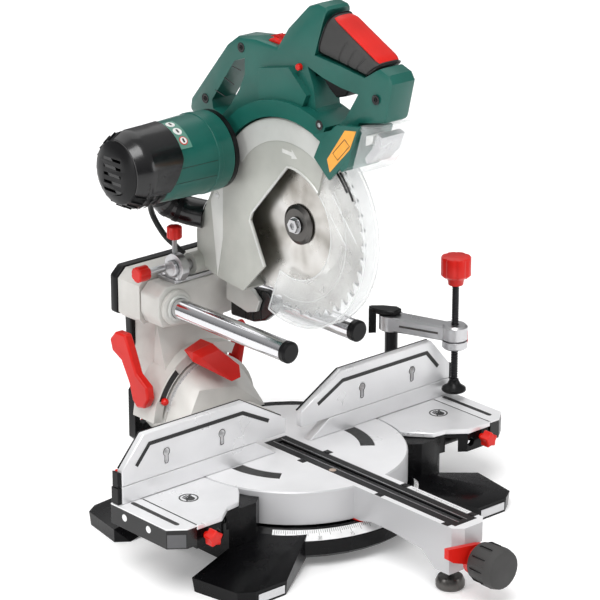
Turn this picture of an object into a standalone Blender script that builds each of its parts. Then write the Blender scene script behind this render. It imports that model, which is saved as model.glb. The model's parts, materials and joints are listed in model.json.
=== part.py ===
"""Sliding compound mitre saw, 216 mm blade, on its own base and feet.

Every length below is in millimetres and is scaled to metres when a mesh is made.
While modelling, X = Y = 0 is the turntable's axis and Z = 0 is the bench: +X is the
operator's right, -Y is the operator's side and +Z is up. The root empty then shifts
the whole saw so that the world origin is the middle of its footprint.
"""
import bpy
import bmesh
import math
from mathutils import Vector

MM = 0.001
GAP = 0.3                      # clearance between solids that touch

# --- driving dimensions ---------------------------------------------------------------
TABLE_TOP = 86.0               # work surface above the bench
TABLE_THICK = 6.0
TURNTABLE_R = 133.0
SKIRT_BOTTOM = 46.3
ARM_HALF = 24.0
ARM_FRONT = -297.0
BLADE_R = 108.0
BLADE_C = (-12.4, 361.4)       # blade centre, (Y, Z), head raised
KERF_HALF = 1.2
PIVOT = (156.0, 276.0)         # chop pivot, (Y, Z)
MOTOR = (103.0, 430.0)         # motor shaft, (Y, Z)
GUARD_R = 125.0
CAVITY_R = 121.5
CASE_OUT = 38.8                # outer face of the belt case, inside the right rail
LOWER_GUARD_R = 119.0
RAIL_X = 52.0
RAIL_Z = 231.0
RAIL_R = 12.3
RAIL_FRONT = -55.0
FENCE_SPLIT = 107.0            # top of the fixed fence
FENCE_TOP = 162.0
FENCE_END = 252.0
SEAM_X = 226.0                 # where the pull-out extension meets the table
EXTENSION_END = 258.0
HUB_Z = TABLE_TOP              # bevel axis lies in the table's surface
KNOB_Z = 48.0                  # mitre knob axis
KNOB_FRONT = -345.0
FOOT_POS = (0.0, -262.0)       # levelling foot, (X, Y)
POST = (214.0, 63.0)           # clamp post, (X, Y)
SPINDLE = (243.0, -17.0)       # clamp spindle, (X, Y)
CLAMP_KNOB_R = 18.5
REAR = 250.0                   # back of the rear bracket

# the footprint's middle becomes the world origin
LEFT = -EXTENSION_END
RIGHT = SPINDLE[0] + CLAMP_KNOB_R
ORIGIN_X = (LEFT + RIGHT) / 2
ORIGIN_Y = (KNOB_FRONT + REAR) / 2

# joint axes: where each moving body's empty stands
BODIES = {
    "base": (0, 0, 0),
    "turntable": (0, 0, TABLE_TOP),
    "levelling_foot": (FOOT_POS[0], FOOT_POS[1], 0),
    "mitre_knob": (0, KNOB_FRONT, KNOB_Z),
    "mitre_latch": (0, -302, KNOB_Z),
    "bevel_stop_button": (-20, REAR, 46),
    "column": (0, 200, HUB_Z),
    "bevel_lock": (-88, 165, 125),
    "bevel_lock_right": (72, 190, 124),
    "index_lever": (0, 149.5, 183),
    "carriage": (0, 168, RAIL_Z),
    "slide_lock": (-70, 172, 273),
    "head": (0, PIVOT[0], PIVOT[1]),
    "trigger": (9, -30, 552),
    "lock_button": (-10, -22, 548),
    "light_switch": (9, 30, 560),
    "depth_stop": (-43, 160, 312),
    "motor": (-60, MOTOR[0], MOTOR[1]),
    "blade": (0, BLADE_C[0], BLADE_C[1]),
    "lower_guard": (0, BLADE_C[0], BLADE_C[1]),
    "fence_left": (-130, 4, 130),
    "fence_right": (130, 4, 130),
    "extension_left": (-240, -40, 80),
    "extension_right": (240, -40, 80),
    "extension_knob_left": (-212, -100, 71),
    "extension_knob_right": (212, -100, 71),
    "clamp_post": (POST[0], POST[1], 100),
    "clamp_arm": (POST[0], POST[1], 172),
    "clamp_lever": (POST[0], POST[1], 175),
    "clamp_screw": (SPINDLE[0], SPINDLE[1], 170),
}

COLOURS = {                    # base colour, roughness, metallic
    "green": ((0.012, 0.133, 0.105), 0.45, 0.0),
    "black": ((0.010, 0.010, 0.012), 0.5, 0.0),
    "red": ((0.68, 0.012, 0.006), 0.4, 0.0),
    "table": ((0.72, 0.72, 0.73), 0.4, 0.6),
    "casting": ((0.60, 0.60, 0.58), 0.5, 0.2),
    "guard_grey": ((0.45, 0.46, 0.42), 0.45, 0.2),
    "chrome": ((0.75, 0.75, 0.77), 0.15, 1.0),
    "steel": ((0.55, 0.55, 0.56), 0.35, 1.0),
    "clear": ((0.85, 0.87, 0.88), 0.1, 0.0),
    "copper": ((0.65, 0.30, 0.12), 0.35, 1.0),
    "rubber": ((0.03, 0.03, 0.032), 0.8, 0.0),
}

EMPTIES = {}
MATERIALS = {}


# --- scene helpers ----------------------------------------------------------------------
def clear_scene():
    for obj in list(bpy.data.objects):
        bpy.data.objects.remove(obj, do_unlink=True)


def make_empties():
    root = bpy.data.objects.new("origin", None)
    root.location = (-ORIGIN_X * MM, -ORIGIN_Y * MM, 0)
    bpy.context.scene.collection.objects.link(root)
    for name, place in BODIES.items():
        empty = bpy.data.objects.new("axis_" + name, None)
        empty.parent = root
        empty.location = Vector(place) * MM
        empty.empty_display_size = 0.02
        bpy.context.scene.collection.objects.link(empty)
        EMPTIES[name] = empty


def material(key):
    if key not in MATERIALS:
        colour, roughness, metallic = COLOURS[key]
        mat = bpy.data.materials.new(key)
        mat.use_nodes = True
        shader = mat.node_tree.nodes["Principled BSDF"]
        shader.inputs["Base Color"].default_value = (*colour, 1.0)
        shader.inputs["Roughness"].default_value = roughness
        shader.inputs["Metallic"].default_value = metallic
        MATERIALS[key] = mat
    return MATERIALS[key]


def add_object(name, bm, body, key):
    """Turn a bmesh in millimetres into an object hung on its body's empty."""
    bmesh.ops.remove_doubles(bm, verts=bm.verts, dist=1e-4)
    bmesh.ops.recalc_face_normals(bm, faces=bm.faces)
    bmesh.ops.scale(bm, vec=(MM, MM, MM), verts=bm.verts)
    place = Vector(BODIES[body]) * MM
    bmesh.ops.translate(bm, vec=-place, verts=bm.verts)
    mesh = bpy.data.meshes.new(name)
    bm.to_mesh(mesh)
    bm.free()
    mesh.shade_smooth()
    mesh.set_sharp_from_angle(angle=math.radians(32))
    obj = bpy.data.objects.new(name, mesh)
    obj.parent = EMPTIES[body]
    mesh.materials.append(material(key))
    bpy.context.scene.collection.objects.link(obj)
    return obj


def tool(bm, body):
    """A cutter or a piece to be joined on: hidden from the build."""
    obj = add_object("tool", bm, body, "black")
    obj.hide_render = True
    obj.display_type = "WIRE"
    return obj


def combine(obj, bm, body, operation):
    mod = obj.modifiers.new(operation.lower(), "BOOLEAN")
    mod.operation = operation
    mod.solver = "EXACT"
    mod.object = tool(bm, body)
    return obj


def cut(obj, body, *meshes):
    for bm in meshes:
        combine(obj, bm, body, "DIFFERENCE")
    return obj


def join(obj, body, *meshes):
    for bm in meshes:
        combine(obj, bm, body, "UNION")
    return obj


def soften(obj, width, segments=1, angle=35):
    mod = obj.modifiers.new("bevel", "BEVEL")
    mod.width = width * MM
    mod.segments = segments
    mod.limit_method = "ANGLE"
    mod.angle_limit = math.radians(angle)
    mod.use_clamp_overlap = True
    return obj


# --- shape helpers (all return a bmesh in millimetres) ----------------------------------
def lift(plane, a, b, c):
    """A point (a, b) of a drawing plane at depth c."""
    if plane == "YZ":
        return Vector((c, a, b))
    if plane == "XZ":
        return Vector((a, c, b))
    return Vector((a, b, c))


def prism(plane, outline, low, high):
    bm = bmesh.new()
    lower = [bm.verts.new(lift(plane, a, b, low)) for a, b in outline]
    upper = [bm.verts.new(lift(plane, a, b, high)) for a, b in outline]
    bm.faces.new(lower)
    bm.faces.new(upper)
    count = len(outline)
    for i in range(count):
        j = (i + 1) % count
        bm.faces.new((lower[i], lower[j], upper[j], upper[i]))
    return bm


def box(x0, x1, y0, y1, z0, z1):
    return prism("XY", [(x0, y0), (x1, y0), (x1, y1), (x0, y1)], z0, z1)


def hull(points):
    bm = bmesh.new()
    for point in points:
        bm.verts.new(point)
    bmesh.ops.convex_hull(bm, input=bm.verts)
    loose = [v for v in bm.verts if not v.link_faces]
    bmesh.ops.delete(bm, geom=loose, context="VERTS")
    bmesh.ops.dissolve_limit(bm, angle_limit=0.01, verts=bm.verts, edges=bm.edges)
    return bm


def arc(centre, radius, start, end, steps):
    """Points from start to end, in degrees anticlockwise."""
    points = []
    for i in range(steps + 1):
        angle = math.radians(start + (end - start) * i / steps)
        points.append((centre[0] + radius * math.cos(angle), centre[1] + radius * math.sin(angle)))
    return points


def sector(centre, inner, outer, start, end, steps):
    return arc(centre, outer, start, end, steps) + arc(centre, inner, end, start, steps)


def turned(axis, place, profile, segments=24):
    """Turn (radius, height) points about an axis through place.

    A profile whose ends have radius 0 is open there; any other profile is a closed loop.
    """
    bm = bmesh.new()
    rings = []
    for radius, height in profile:
        ring = []
        count = 1 if radius == 0 else segments
        for i in range(count):
            angle = 2 * math.pi * i / segments
            a = radius * math.cos(angle)
            b = radius * math.sin(angle)
            if axis == "X":
                point = (place[0] + height, place[1] + a, place[2] + b)
            elif axis == "Y":
                point = (place[0] + a, place[1] + height, place[2] + b)
            else:
                point = (place[0] + a, place[1] + b, place[2] + height)
            ring.append(bm.verts.new(point))
        rings.append(ring)
    pairs = list(zip(rings, rings[1:]))
    if profile[0][0] > 0:
        pairs.append((rings[-1], rings[0]))
    for first, second in pairs:
        for i in range(segments):
            j = (i + 1) % segments
            corners = [first[i % len(first)], first[j % len(first)]]
            corners += [second[j % len(second)], second[i % len(second)]]
            unique = list(dict.fromkeys(corners))
            if len(unique) > 2:
                bm.faces.new(unique)
    return bm


def rod(axis, place, radius, low, high, segments=24, chamfer=0.0):
    if chamfer:
        profile = [(0, low), (radius - chamfer, low), (radius, low + chamfer),
                   (radius, high - chamfer), (radius - chamfer, high), (0, high)]
    else:
        profile = [(0, low), (radius, low), (radius, high), (0, high)]
    return turned(axis, place, profile, segments)


def tube(axis, place, inner, outer, low, high, segments=24):
    return turned(axis, place, [(inner, low), (outer, low), (outer, high), (inner, high)], segments)


def sweep(points, outer, inner, sides=12):
    """A tube, or a rod where inner is 0, along a list of points."""
    points = [Vector(p) for p in points]
    bm = bmesh.new()
    skins = []
    for radius in (outer, inner):
        if radius == 0:
            continue
        rings = []
        normal = None
        for i, point in enumerate(points):
            ahead = points[min(i + 1, len(points) - 1)]
            behind = points[max(i - 1, 0)]
            tangent = (ahead - behind).normalized()
            if normal is None:
                normal = tangent.orthogonal().normalized()
            normal = (normal - tangent * normal.dot(tangent)).normalized()
            side = tangent.cross(normal)
            ring = []
            for k in range(sides):
                angle = 2 * math.pi * k / sides
                offset = normal * math.cos(angle) + side * math.sin(angle)
                ring.append(bm.verts.new(point + offset * radius))
            rings.append(ring)
        for first, second in zip(rings, rings[1:]):
            for k in range(sides):
                n = (k + 1) % sides
                bm.faces.new((first[k], first[n], second[n], second[k]))
        skins.append(rings)
    for end in (0, -1):
        if inner == 0:
            bm.faces.new(skins[0][end])
            continue
        for k in range(sides):
            n = (k + 1) % sides
            big = skins[0][end]
            small = skins[1][end]
            bm.faces.new((big[k], big[n], small[n], small[k]))
    return bm


def smooth_route(points, steps):
    """Catmull-Rom points through the given ones."""
    points = [Vector(p) for p in points]
    ends = [2 * points[0] - points[1]] + points + [2 * points[-1] - points[-2]]
    route = []
    for i in range(1, len(ends) - 2):
        p0, p1, p2, p3 = ends[i - 1:i + 3]
        for step in range(steps):
            t = step / steps
            route.append(0.5 * (2 * p1 + (p2 - p0) * t + (2 * p0 - 5 * p1 + 4 * p2 - p3) * t * t
                                + (3 * p1 - p0 - 3 * p2 + p3) * t ** 3))
    route.append(points[-1])
    return route


def mirrored(points, side):
    """Outline for the right (side 1) or left (side -1) of the saw."""
    return [(side * x, y) for x, y in points]


# --- base ----------------------------------------------------------------------------
def foot_points(side, rear):
    """A splayed leg: broad where it leaves the ring, flat-soled at its tip."""
    flip = -1 if rear else 1
    reach = 0.93 if rear else 1.0
    tip = [(148, -157), (194, -157), (211, -146), (222, -82)]
    sole = [(138, -140), (150, -157), (192, -157), (209, -145), (220, -84), (204, -72)]
    points = []
    for x, y in tip:
        points.append((side * x * reach, flip * y * reach, 17))
    for x, y in sole:
        points.append((side * x * reach, flip * y * reach, 0))
    for x, y in [(84, -118), (128, -70)]:
        points.append((side * x, flip * y, 13))
        points.append((side * x, flip * y, 40))
    return points


def base_frame():
    profile = [(7.5, 12), (146, 12), (152, 17), (152, 33), (139.5, 44.5), (136, 44.5),
               (136, 24), (7.5, 24)]
    base = add_object("base_frame", turned("Z", (0, 0, 0), profile, 40), "base", "black")
    wall = prism("XY", sector((0, 0), 137, 150, 28, 152, 12), 30, 83.5)
    join(base, "base", wall)
    for side in (-1, 1):
        inner = [(104, -62), (114, -71), (128, -82), (150, -82), (163, -76), (163, 26), (155, 41)]
        inner += [(148, 58), (104, 58)]
        wing = [(150, -77), (168, -78), (190, -95), (SEAM_X - 1, -95), (SEAM_X - 1, 13), (150, 13)]
        join(base, "base", prism("XY", mirrored(inner, side), 14, TABLE_TOP - TABLE_THICK - GAP))
        join(base, "base", prism("XY", mirrored(wing, side), 57, TABLE_TOP - TABLE_THICK - GAP))
        for rear in (False, True):
            join(base, "base", hull(foot_points(side, rear)))
    boss = [(152, 18), (220, 10), (231, 56), (224, 79), (203, 79), (152, 55)]
    join(base, "base", prism("XY", boss, 58, 79))
    for side in (-1, 1):
        x0, x1 = sorted((side * 169, side * 216))
        cut(base, "base", box(x0, x1, -88, 6, 40, 75))
        cut(base, "base", rod("Y", (side * 196, 0, 68), 5.5, -100, -80, 16))
        cut(base, "base", rod("X", (0, -8, 68), 6.4, *sorted((side * 166, side * 230)), 12))
        cut(base, "base", rod("X", (0, -70, 68), 6.4, *sorted((side * 166, side * 230)), 12))
    cut(base, "base", rod("Z", (0, 0, 0), 135.8, 45, 100, 40))
    cut(base, "base", rod("Z", (POST[0], POST[1], 0), 8.4, 50, 90, 16))
    return base


def tables():
    for side, word in ((-1, "left"), (1, "right")):
        outline = arc((0, 0), 134.2, -21, 26.5, 10)
        outline += [(149, 60), (156, 42), (164, 26), (203, 25), (204, 14.5), (SEAM_X - GAP, 14.5)]
        outline += [(SEAM_X - GAP, -97), (190, -97)]
        outline += [(168, -80), (150, -78), (132, -58)]
        bm = prism("XY", mirrored(outline, side), TABLE_TOP - TABLE_THICK, TABLE_TOP)
        table = add_object("table_" + word, bm, "base", "table")
        soften(table, 0.8)
        step = sorted((side * 120, side * SEAM_X))
        cut(table, "base", box(*step, -GAP, 70, TABLE_TOP - 0.5, TABLE_TOP + 5))


def extensions():
    for side, word in ((-1, "left"), (1, "right")):
        body = "extension_" + word
        top = [(SEAM_X, 14), (SEAM_X, -97), (240, -97), (EXTENSION_END, -83), (EXTENSION_END, 14)]
        bm = prism("XY", mirrored(top, side), TABLE_TOP - TABLE_THICK, TABLE_TOP)
        plate = add_object(body, bm, body, "table")
        wall = [(SEAM_X, -97), (240, -97), (EXTENSION_END, -83), (EXTENSION_END, 14), (252, 14)]
        wall += [(252, -80), (238, -91), (SEAM_X, -91)]
        join(plate, body, prism("XY", mirrored(wall, side), 62, TABLE_TOP - TABLE_THICK + 1))
        for y in (-8, -70):
            ends = sorted((side * 172, side * 254))
            join(plate, body, rod("X", (0, y, 68), 6, *ends, 12))


def extension_knobs():
    for side, word in ((-1, "left"), (1, "right")):
        body = "extension_knob_" + word
        points = []
        for i in range(10):
            radius = 10.5 if i % 2 == 0 else 7.0
            angle = math.radians(36 * i + 90)
            points.append((side * 212 + radius * math.cos(angle), 71 + radius * math.sin(angle)))
        knob = add_object(body, prism("XZ", points, -114, -101), body, "red")
        soften(knob, 1.2)
        join(knob, body, rod("Y", (side * 212, 0, 71), 4, -102, -95.3, 12))


def fences():
    for side, word in ((-1, "left"), (1, "right")):
        low = [(26, TABLE_TOP + GAP), (FENCE_END, TABLE_TOP + GAP), (FENCE_END, FENCE_SPLIT)]
        low += [(57, FENCE_SPLIT)]
        lower = add_object("fence_lower_" + word, prism("XZ", mirrored(low, side), 0, 12),
                           "base", "table")
        soften(lower, 0.6)
        high = [(12, FENCE_SPLIT + GAP), (FENCE_END, FENCE_SPLIT + GAP), (FENCE_END, 126)]
        high += [(221, FENCE_TOP), (75, FENCE_TOP), (12, 125.5)]
        body = "fence_" + word
        upper = add_object("fence_upper_" + word, prism("XZ", mirrored(high, side), 0, 9),
                           body, "table")
        for x in (108, 189):
            keyhole = [(side * x + 2.2, 119), (side * x + 2.2, 131), (side * x - 2.2, 131)]
            keyhole += [(side * x - 2.2, 119)]
            cut(upper, body, rod("Y", (side * x, 0, 133), 4.6, -2, 12, 16))
            cut(upper, body, prism("XZ", keyhole, -2, 12))
        soften(upper, 0.8)


def pivot_bolt():
    bm = turned("Z", (0, 0, 0), [(0, 5), (13, 5), (13, 11.5), (7.1, 11.5), (7.1, 45.8), (0, 45.8)], 16)
    add_object("pivot_bolt", bm, "base", "steel")


# --- turntable -----------------------------------------------------------------------
def turntable():
    body = "turntable"
    profile = [(0, TABLE_TOP), (131.5, TABLE_TOP), (TURNTABLE_R, TABLE_TOP - 1.5),
               (TURNTABLE_R, SKIRT_BOTTOM), (128, SKIRT_BOTTOM), (128, 77), (20, 77),
               (20, SKIRT_BOTTOM), (0, SKIRT_BOTTOM)]
    disc = add_object("turntable", turned("Z", (0, 0, 0), profile, 56), body, "casting")
    side_view = [(-100, SKIRT_BOTTOM), (-140, SKIRT_BOTTOM), (-160, 51), (-192, 50.5), (-240, 46)]
    side_view += [(-262, 29), (-284, 29), (-284, 60), (ARM_FRONT, 63), (ARM_FRONT, TABLE_TOP)]
    side_view += [(-100, TABLE_TOP)]
    join(disc, body, prism("YZ", side_view, -ARM_HALF, ARM_HALF))
    cut(disc, body, box(-17, 17, -285.5, 32.5, 82.6, 90))
    cut(disc, body, box(-9, 9, -279, 27, 62, 84))
    cut(disc, body, rod("Z", (FOOT_POS[0], FOOT_POS[1], 0), 4.9, 20, 58, 12))
    for start, end in ((180.5, 219), (-39, -0.5)):
        slot = sector((0, 0), 78, 95, start, end, 7)
        cut(disc, body, prism("XY", slot, 70, 90))
    nose = [(-26, -285), (-26, -300), (26, -300), (26, -285), (12, -298.5), (-12, -298.5)]
    cut(disc, body, prism("XY", nose, 55, 95))
    return disc


def table_insert():
    body = "turntable"
    insert = add_object("table_insert", box(-16.6, 16.6, -285, 32, 82.9, TABLE_TOP - 0.1), body, "black")
    cut(insert, body, box(-4, 4, -276, 24, 80, 90))


def bevel_trunnion():
    """Rear casting of the turntable: faceted nose, scale drum and the bevel shaft."""
    body = "turntable"
    points = []
    for x, z in arc((0, TABLE_TOP), 70, 0, 180, 18):
        points.append((x, 150, max(z, TABLE_TOP + GAP)))
        points.append((x, 178, max(z, TABLE_TOP + GAP)))
    nose = hull(points)
    trunnion = add_object("bevel_trunnion", nose, body, "casting")
    front = [(-62, 122, TABLE_TOP + GAP), (62, 122, TABLE_TOP + GAP), (-70, 150, TABLE_TOP + GAP)]
    front += [(70, 150, TABLE_TOP + GAP), (-36, 126, 128), (18, 124, 121), (52, 128, 100)]
    front += [(x, 151, z) for x, z in arc((0, TABLE_TOP), 66, 10, 170, 10)]
    join(trunnion, body, hull(front))
    join(trunnion, body, box(-38, 38, 76, 150, TABLE_TOP + GAP, 97))
    join(trunnion, body, rod("Y", (0, 0, HUB_Z), 10, 160, 243, 16))
    return trunnion


def rear_bracket():
    body = "turntable"
    outline = [(-52, 40), (-46, 34), (4, 34), (14, 44), (14, 112), (-8, 118), (-38, 116), (-52, 100)]
    hole = [(-44, 60), (-40, 56), (-26, 56), (-24, 60), (-24, 98), (-30, 104), (-38, 104), (-44, 98)]
    bracket = add_object("rear_bracket", prism("XZ", outline, 229, 242), body, "black")
    cut(bracket, body, prism("XZ", hole, 220, 250))
    cut(bracket, body, rod("Y", (0, 0, HUB_Z), 10.4, 220, 250, 16))
    cut(bracket, body, rod("Y", (-20, 0, 46), 4.4, 220, 250, 12))
    soften(bracket, 2.0)


def bevel_stop_button():
    body = "bevel_stop_button"
    outline = [(-27, 39), (-13, 39), (-12, 40), (-12, 52), (-13, 53), (-27, 53), (-28, 52), (-28, 40)]
    button = add_object("bevel_stop_button", prism("XZ", outline, 245, REAR), body, "red")
    join(button, body, rod("Y", (-20, 0, 46), 4, 231, 246, 12))


def levelling_foot():
    body = "levelling_foot"
    profile = [(0, 0), (14.5, 0), (16.5, 2.5), (16.5, 9), (14, 14), (6, 16), (4.5, 17), (4.5, 52), (0, 52)]
    add_object("levelling_foot", turned("Z", (*FOOT_POS, 0), profile, 16), body, "steel")


def mitre_knob():
    profile = [(0, -306), (18, -306), (21.5, -309), (23, -318), (24, -336), (22, -343.5),
               (19, KNOB_FRONT), (0, KNOB_FRONT)]
    bm = turned("Y", (0, 0, KNOB_Z), profile, 24)
    knob = add_object("mitre_knob", bm, "mitre_knob", "rubber")
    for i in range(8):
        angle = math.radians(45 * i + 22.5)
        place = (31 * math.cos(angle), 0, KNOB_Z + 31 * math.sin(angle))
        cut(knob, "mitre_knob", rod("Y", place, 8.6, -334, -300, 10))


def mitre_latch():
    """Collar behind the knob with a thumb lever to its left."""
    body = "mitre_latch"
    bm = turned("Y", (0, 0, KNOB_Z), [(0, -284.4), (11, -284.4), (11, -297.6),
                                      (18, -299), (18, -305.6), (0, -305.6)], 20)
    latch = add_object("mitre_latch", bm, body, "red")
    paddle = []
    for y in (-298.5, -305):
        paddle += [(3, y, 40), (2, y, 66), (-46, y, 61), (-46, y, 73), (-38, y, 55)]
    join(latch, body, hull(paddle))


# --- bevel column ----------------------------------------------------------------------
def column():
    body = "column"
    front_view = arc((0, HUB_Z), 47, -180, 0, 16)
    front_view += [(60, 108), (60, 140), (53, 165), (53, 212), (-53, 212), (-53, 165), (-60, 140)]
    front_view += [(-60, 108)]
    casting = add_object("bevel_column", prism("XZ", front_view, 186.5, 226), body, "casting")
    soften(casting, 3.0, 2)
    head = [(-76, 210), (-70, 204), (70, 204), (76, 210), (76, 252), (64, 263), (-64, 263), (-76, 252)]
    join(casting, body, prism("XZ", head, 186, 226))
    hood = sector((0, HUB_Z), 73.5, 86, 62, 176, 12)
    join(casting, body, prism("XZ", hood, 151, 190))
    slope = [(-50, 188, 203), (50, 188, 203), (-50, 188, 150), (50, 188, 150), (-58, 162, 150),
             (40, 162, 160), (-40, 182, 203), (40, 182, 203), (-58, 188, 120)]
    join(casting, body, hull(slope))
    cut(casting, body, rod("Y", (0, 0, HUB_Z), 73.5, 140, 179.6, 36))
    cut(casting, body, rod("Y", (0, 0, HUB_Z), 10.6, 170, 240, 24))
    for side in (-1, 1):
        cut(casting, body, rod("Y", (side * RAIL_X, 0, RAIL_Z), RAIL_R + GAP, 180, 216, 24))
    return casting


def column_rear_cover():
    body = "column"
    outline = [(-52, 138), (52, 138), (56, 160), (57, 200), (78, 208), (78, 254), (66, 265), (-66, 265)]
    outline += [(-78, 254), (-78, 208), (-57, 200), (-56, 160)]
    cover = add_object("column_rear_cover", prism("XZ", outline, 226.4, 240), body, "black")
    soften(cover, 3.0, 2)


def guide_rails():
    for side, word in ((-1, "left"), (1, "right")):
        bm = rod("Y", (side * RAIL_X, 0, RAIL_Z), RAIL_R, RAIL_FRONT, 215, 24, 1.5)
        add_object("guide_rail_" + word, bm, "column", "chrome")


def bevel_lock_lever():
    """Clamping lever on the left of the column."""
    body = "bevel_lock"
    paddle = [(150, 124), (158, 111), (172, 108), (180, 116), (186, 136), (200, 160), (217, 168)]
    paddle += [(221, 182), (210, 194), (192, 194), (183, 176), (172, 150), (153, 139)]
    lever = add_object("bevel_lock_lever", prism("YZ", paddle, -95, -83), body, "red")
    soften(lever, 2.0)


def bevel_lever_right():
    """Second clamping lever, on the right of the column."""
    body = "bevel_lock_right"
    paddle = [(180, 116), (190, 110), (200, 118), (194, 142), (188, 170), (178, 178), (168, 170)]
    lever = add_object("bevel_lever_right", prism("YZ", paddle, 67.5, 77), body, "red")
    soften(lever, 2.0)
    join(lever, body, rod("X", (0, 190, 124), 6, 60.6, 68.5, 12))


def bevel_index_lever():
    """Thumb lever over the bevel scale that holds the positive stops."""
    body = "index_lever"
    points = [(-44, 128, 178), (-14, 128, 182), (-44, 128, 166), (-38, 120, 172), (-12, 118, 176)]
    points += [(14, 112, 152), (16, 112, 136), (2, 112, 134), (-14, 120, 158), (16, 128, 148)]
    points += [(2, 126, 146), (-14, 149.5, 182), (-40, 149.5, 174), (-30, 149.5, 162), (-4, 149.5, 168)]
    add_object("bevel_index_lever", hull(points), body, "red")


# --- carriage ----------------------------------------------------------------------------
def carriage():
    body = "carriage"
    outline = [(-76, 222), (-70, 208), (-30, 204), (30, 204), (70, 208), (76, 222), (76, 246)]
    outline += [(64, 257.5), (-64, 257.5), (-76, 246)]
    block = add_object("carriage", prism("XZ", outline, 150, 185.4), body, "casting")
    soften(block, 3.0, 2)
    for side in (-1, 1):
        cut(block, body, rod("Y", (side * RAIL_X, 0, RAIL_Z), 17.3, 140, 190, 24))


def rail_bearings():
    for side, word in ((-1, "left"), (1, "right")):
        profile = [(RAIL_R + GAP, 143), (19, 143), (21.5, 145), (21.5, 149.7), (17, 149.7), (17, 185),
                   (RAIL_R + GAP, 185)]
        bm = turned("Y", (side * RAIL_X, 0, RAIL_Z), profile, 24)
        add_object("rail_bearing_" + word, bm, "carriage", "casting")


def pivot_bracket():
    body = "carriage"
    bracket = add_object("pivot_bracket", box(-50, 50, 152, 184, 257.9, 262), body, "steel")
    ear = arc(PIVOT, 17, -20, 190, 12) + [(146, 262), (152, 259), (180, 259), (180, 264)]
    for side in (-1, 1):
        low, high = sorted((side * 38, side * 48))
        join(bracket, body, prism("YZ", ear, low, high))
    cut(bracket, body, rod("X", (0, *PIVOT), 6.4, -60, 60, 16))


def pivot_pin():
    profile = [(0, -53), (9, -53), (10, -52), (10, -48.4), (6, -48.4)]
    profile += [(6, 48.4), (10, 48.4), (10, 52), (9, 53), (0, 53)]
    add_object("pivot_pin", turned("X", (0, *PIVOT), profile, 16), "carriage", "steel")


def return_spring():
    """Torsion spring wound round the pivot pin."""
    turns = 3.5
    steps = int(turns * 10)
    points = []
    for i in range(steps + 1):
        angle = 2 * math.pi * i / 10
        y = PIVOT[0] + 9 * math.cos(angle)
        z = PIVOT[1] + 9 * math.sin(angle)
        points.append((26.5 + 9.5 * i / steps, y, z))
    add_object("return_spring", sweep(points, 0.8, 0, 4), "carriage", "steel")


def slide_lock_knob():
    body = "slide_lock"
    profile = [(0, -92), (8, -92), (9.5, -90), (9.5, -76), (7, -74), (4.2, -73), (4.2, -48.4), (0, -48.4)]
    add_object("slide_lock_knob", turned("X", (0, 172, 273), profile, 12), body, "red")


# --- head --------------------------------------------------------------------------------
def head_outline():
    """Side view (Y, Z) of the green housing with its two handles."""
    outline = arc(BLADE_C, 118, 36, 113, 8)
    outline += [(-56, 452), (-82, 432), (-112, 456), (-104, 486), (-118, 503), (-159, 512)]
    outline += [(-170, 558), (-164, 567), (-149, 572), (-108, 592), (-72, 613), (-62, 623)]
    outline += [(-50, 625), (-32, 618), (0, 588), (18, 563), (54, 565), (87, 561), (104, 549)]
    outline += [(169, 472), (172, 456), (150, 452), (132, 452), (104, 452)]
    return outline


def head_housing():
    body = "head"
    housing = add_object("head_housing", prism("YZ", head_outline(), -9, 27), body, "green")
    soften(housing, 5.0, 2, 50)
    finger = [(-34, 551), (-60, 543), (-88, 538), (-116, 536), (-96, 505), (-84, 494), (-64, 487)]
    finger += [(-48, 506), (-44, 530)]
    carry = [(90, 532), (72, 539), (72, 520), (82, 500), (98, 478), (112, 464), (128, 468), (130, 478)]
    cut(housing, body, prism("YZ", finger, -30, 50))
    cut(housing, body, prism("YZ", carry, -30, 50))
    shroud = sector(BLADE_C, 117, 146, 44, 116, 12)
    join(housing, body, prism("YZ", shroud, -21, 31))
    cheek = [(-46, 470), (-54, 450), (-82, 430.5), (-113.5, 455.5), (-128.5, 498), (-104, 500)]
    cheek += [(-85, 491), (-60, 482)]
    join(housing, body, prism("YZ", cheek, -22, 32))
    switch_box = [(-30, 500), (0, 505), (40, 500), (40, 535), (-10, 546), (-40, 520)]
    join(housing, body, prism("YZ", switch_box, -16, 30))
    cut(housing, body, rod("X", (0, *BLADE_C), 127, -60, 60, 56))
    cut(housing, body, rod("X", (0, -22, 548), 4.3, -20, 0, 12))
    cut(housing, body, box(-1, 19, 16, 42, 552, 590))
    pocket = [(-33, 540), (-33, 552.5), (-37, 552.5), (-60, 546), (-79, 543), (-95, 541.5), (-95, 530)]
    cut(housing, body, prism("YZ", pocket, -0.7, 18.7))
    cut(housing, body, prism("YZ", grip_outline(GAP), -30, 50))
    cut(housing, body, prism("YZ", stadium(MOTOR, 34.4, BLADE_C, 30.4, 14), 17.6, 60))
    cut(housing, body, prism("YZ", [(82, 425), (97, 451.2), (152, 451.2), (152, 380), (82, 380)], -40, 40))
    return housing


def grip_outline(gap):
    """Side view of the rubber saddle that lies over the main handle."""
    return [(-46 + gap, 566 - gap), (-59 + gap, 604), (-66, 622), (-84, 619), (-148, 584),
            (-152 - gap, 573), (-126, 557 - gap), (-88, 562 - gap)]


def handle_grip():
    grip = add_object("handle_grip", prism("YZ", grip_outline(0), -11, 29), "head", "rubber")
    crown = [(-30, 640), (-180, 640), (-180, 560), (-149, 573), (-108, 594), (-72, 615), (-50, 627)]
    cut(grip, "head", prism("YZ", crown, -30, 50))
    soften(grip, 4.0, 2, 50)


def trigger():
    body = "trigger"
    outline = [(-36, 549.5), (-59, 541), (-78, 536.5), (-90, 534.5), (-87, 526), (-71, 521)]
    outline += [(-60, 528), (-47, 541)]
    blade = add_object("trigger", prism("YZ", outline, 0, 18), body, "black")
    soften(blade, 1.5)


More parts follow.
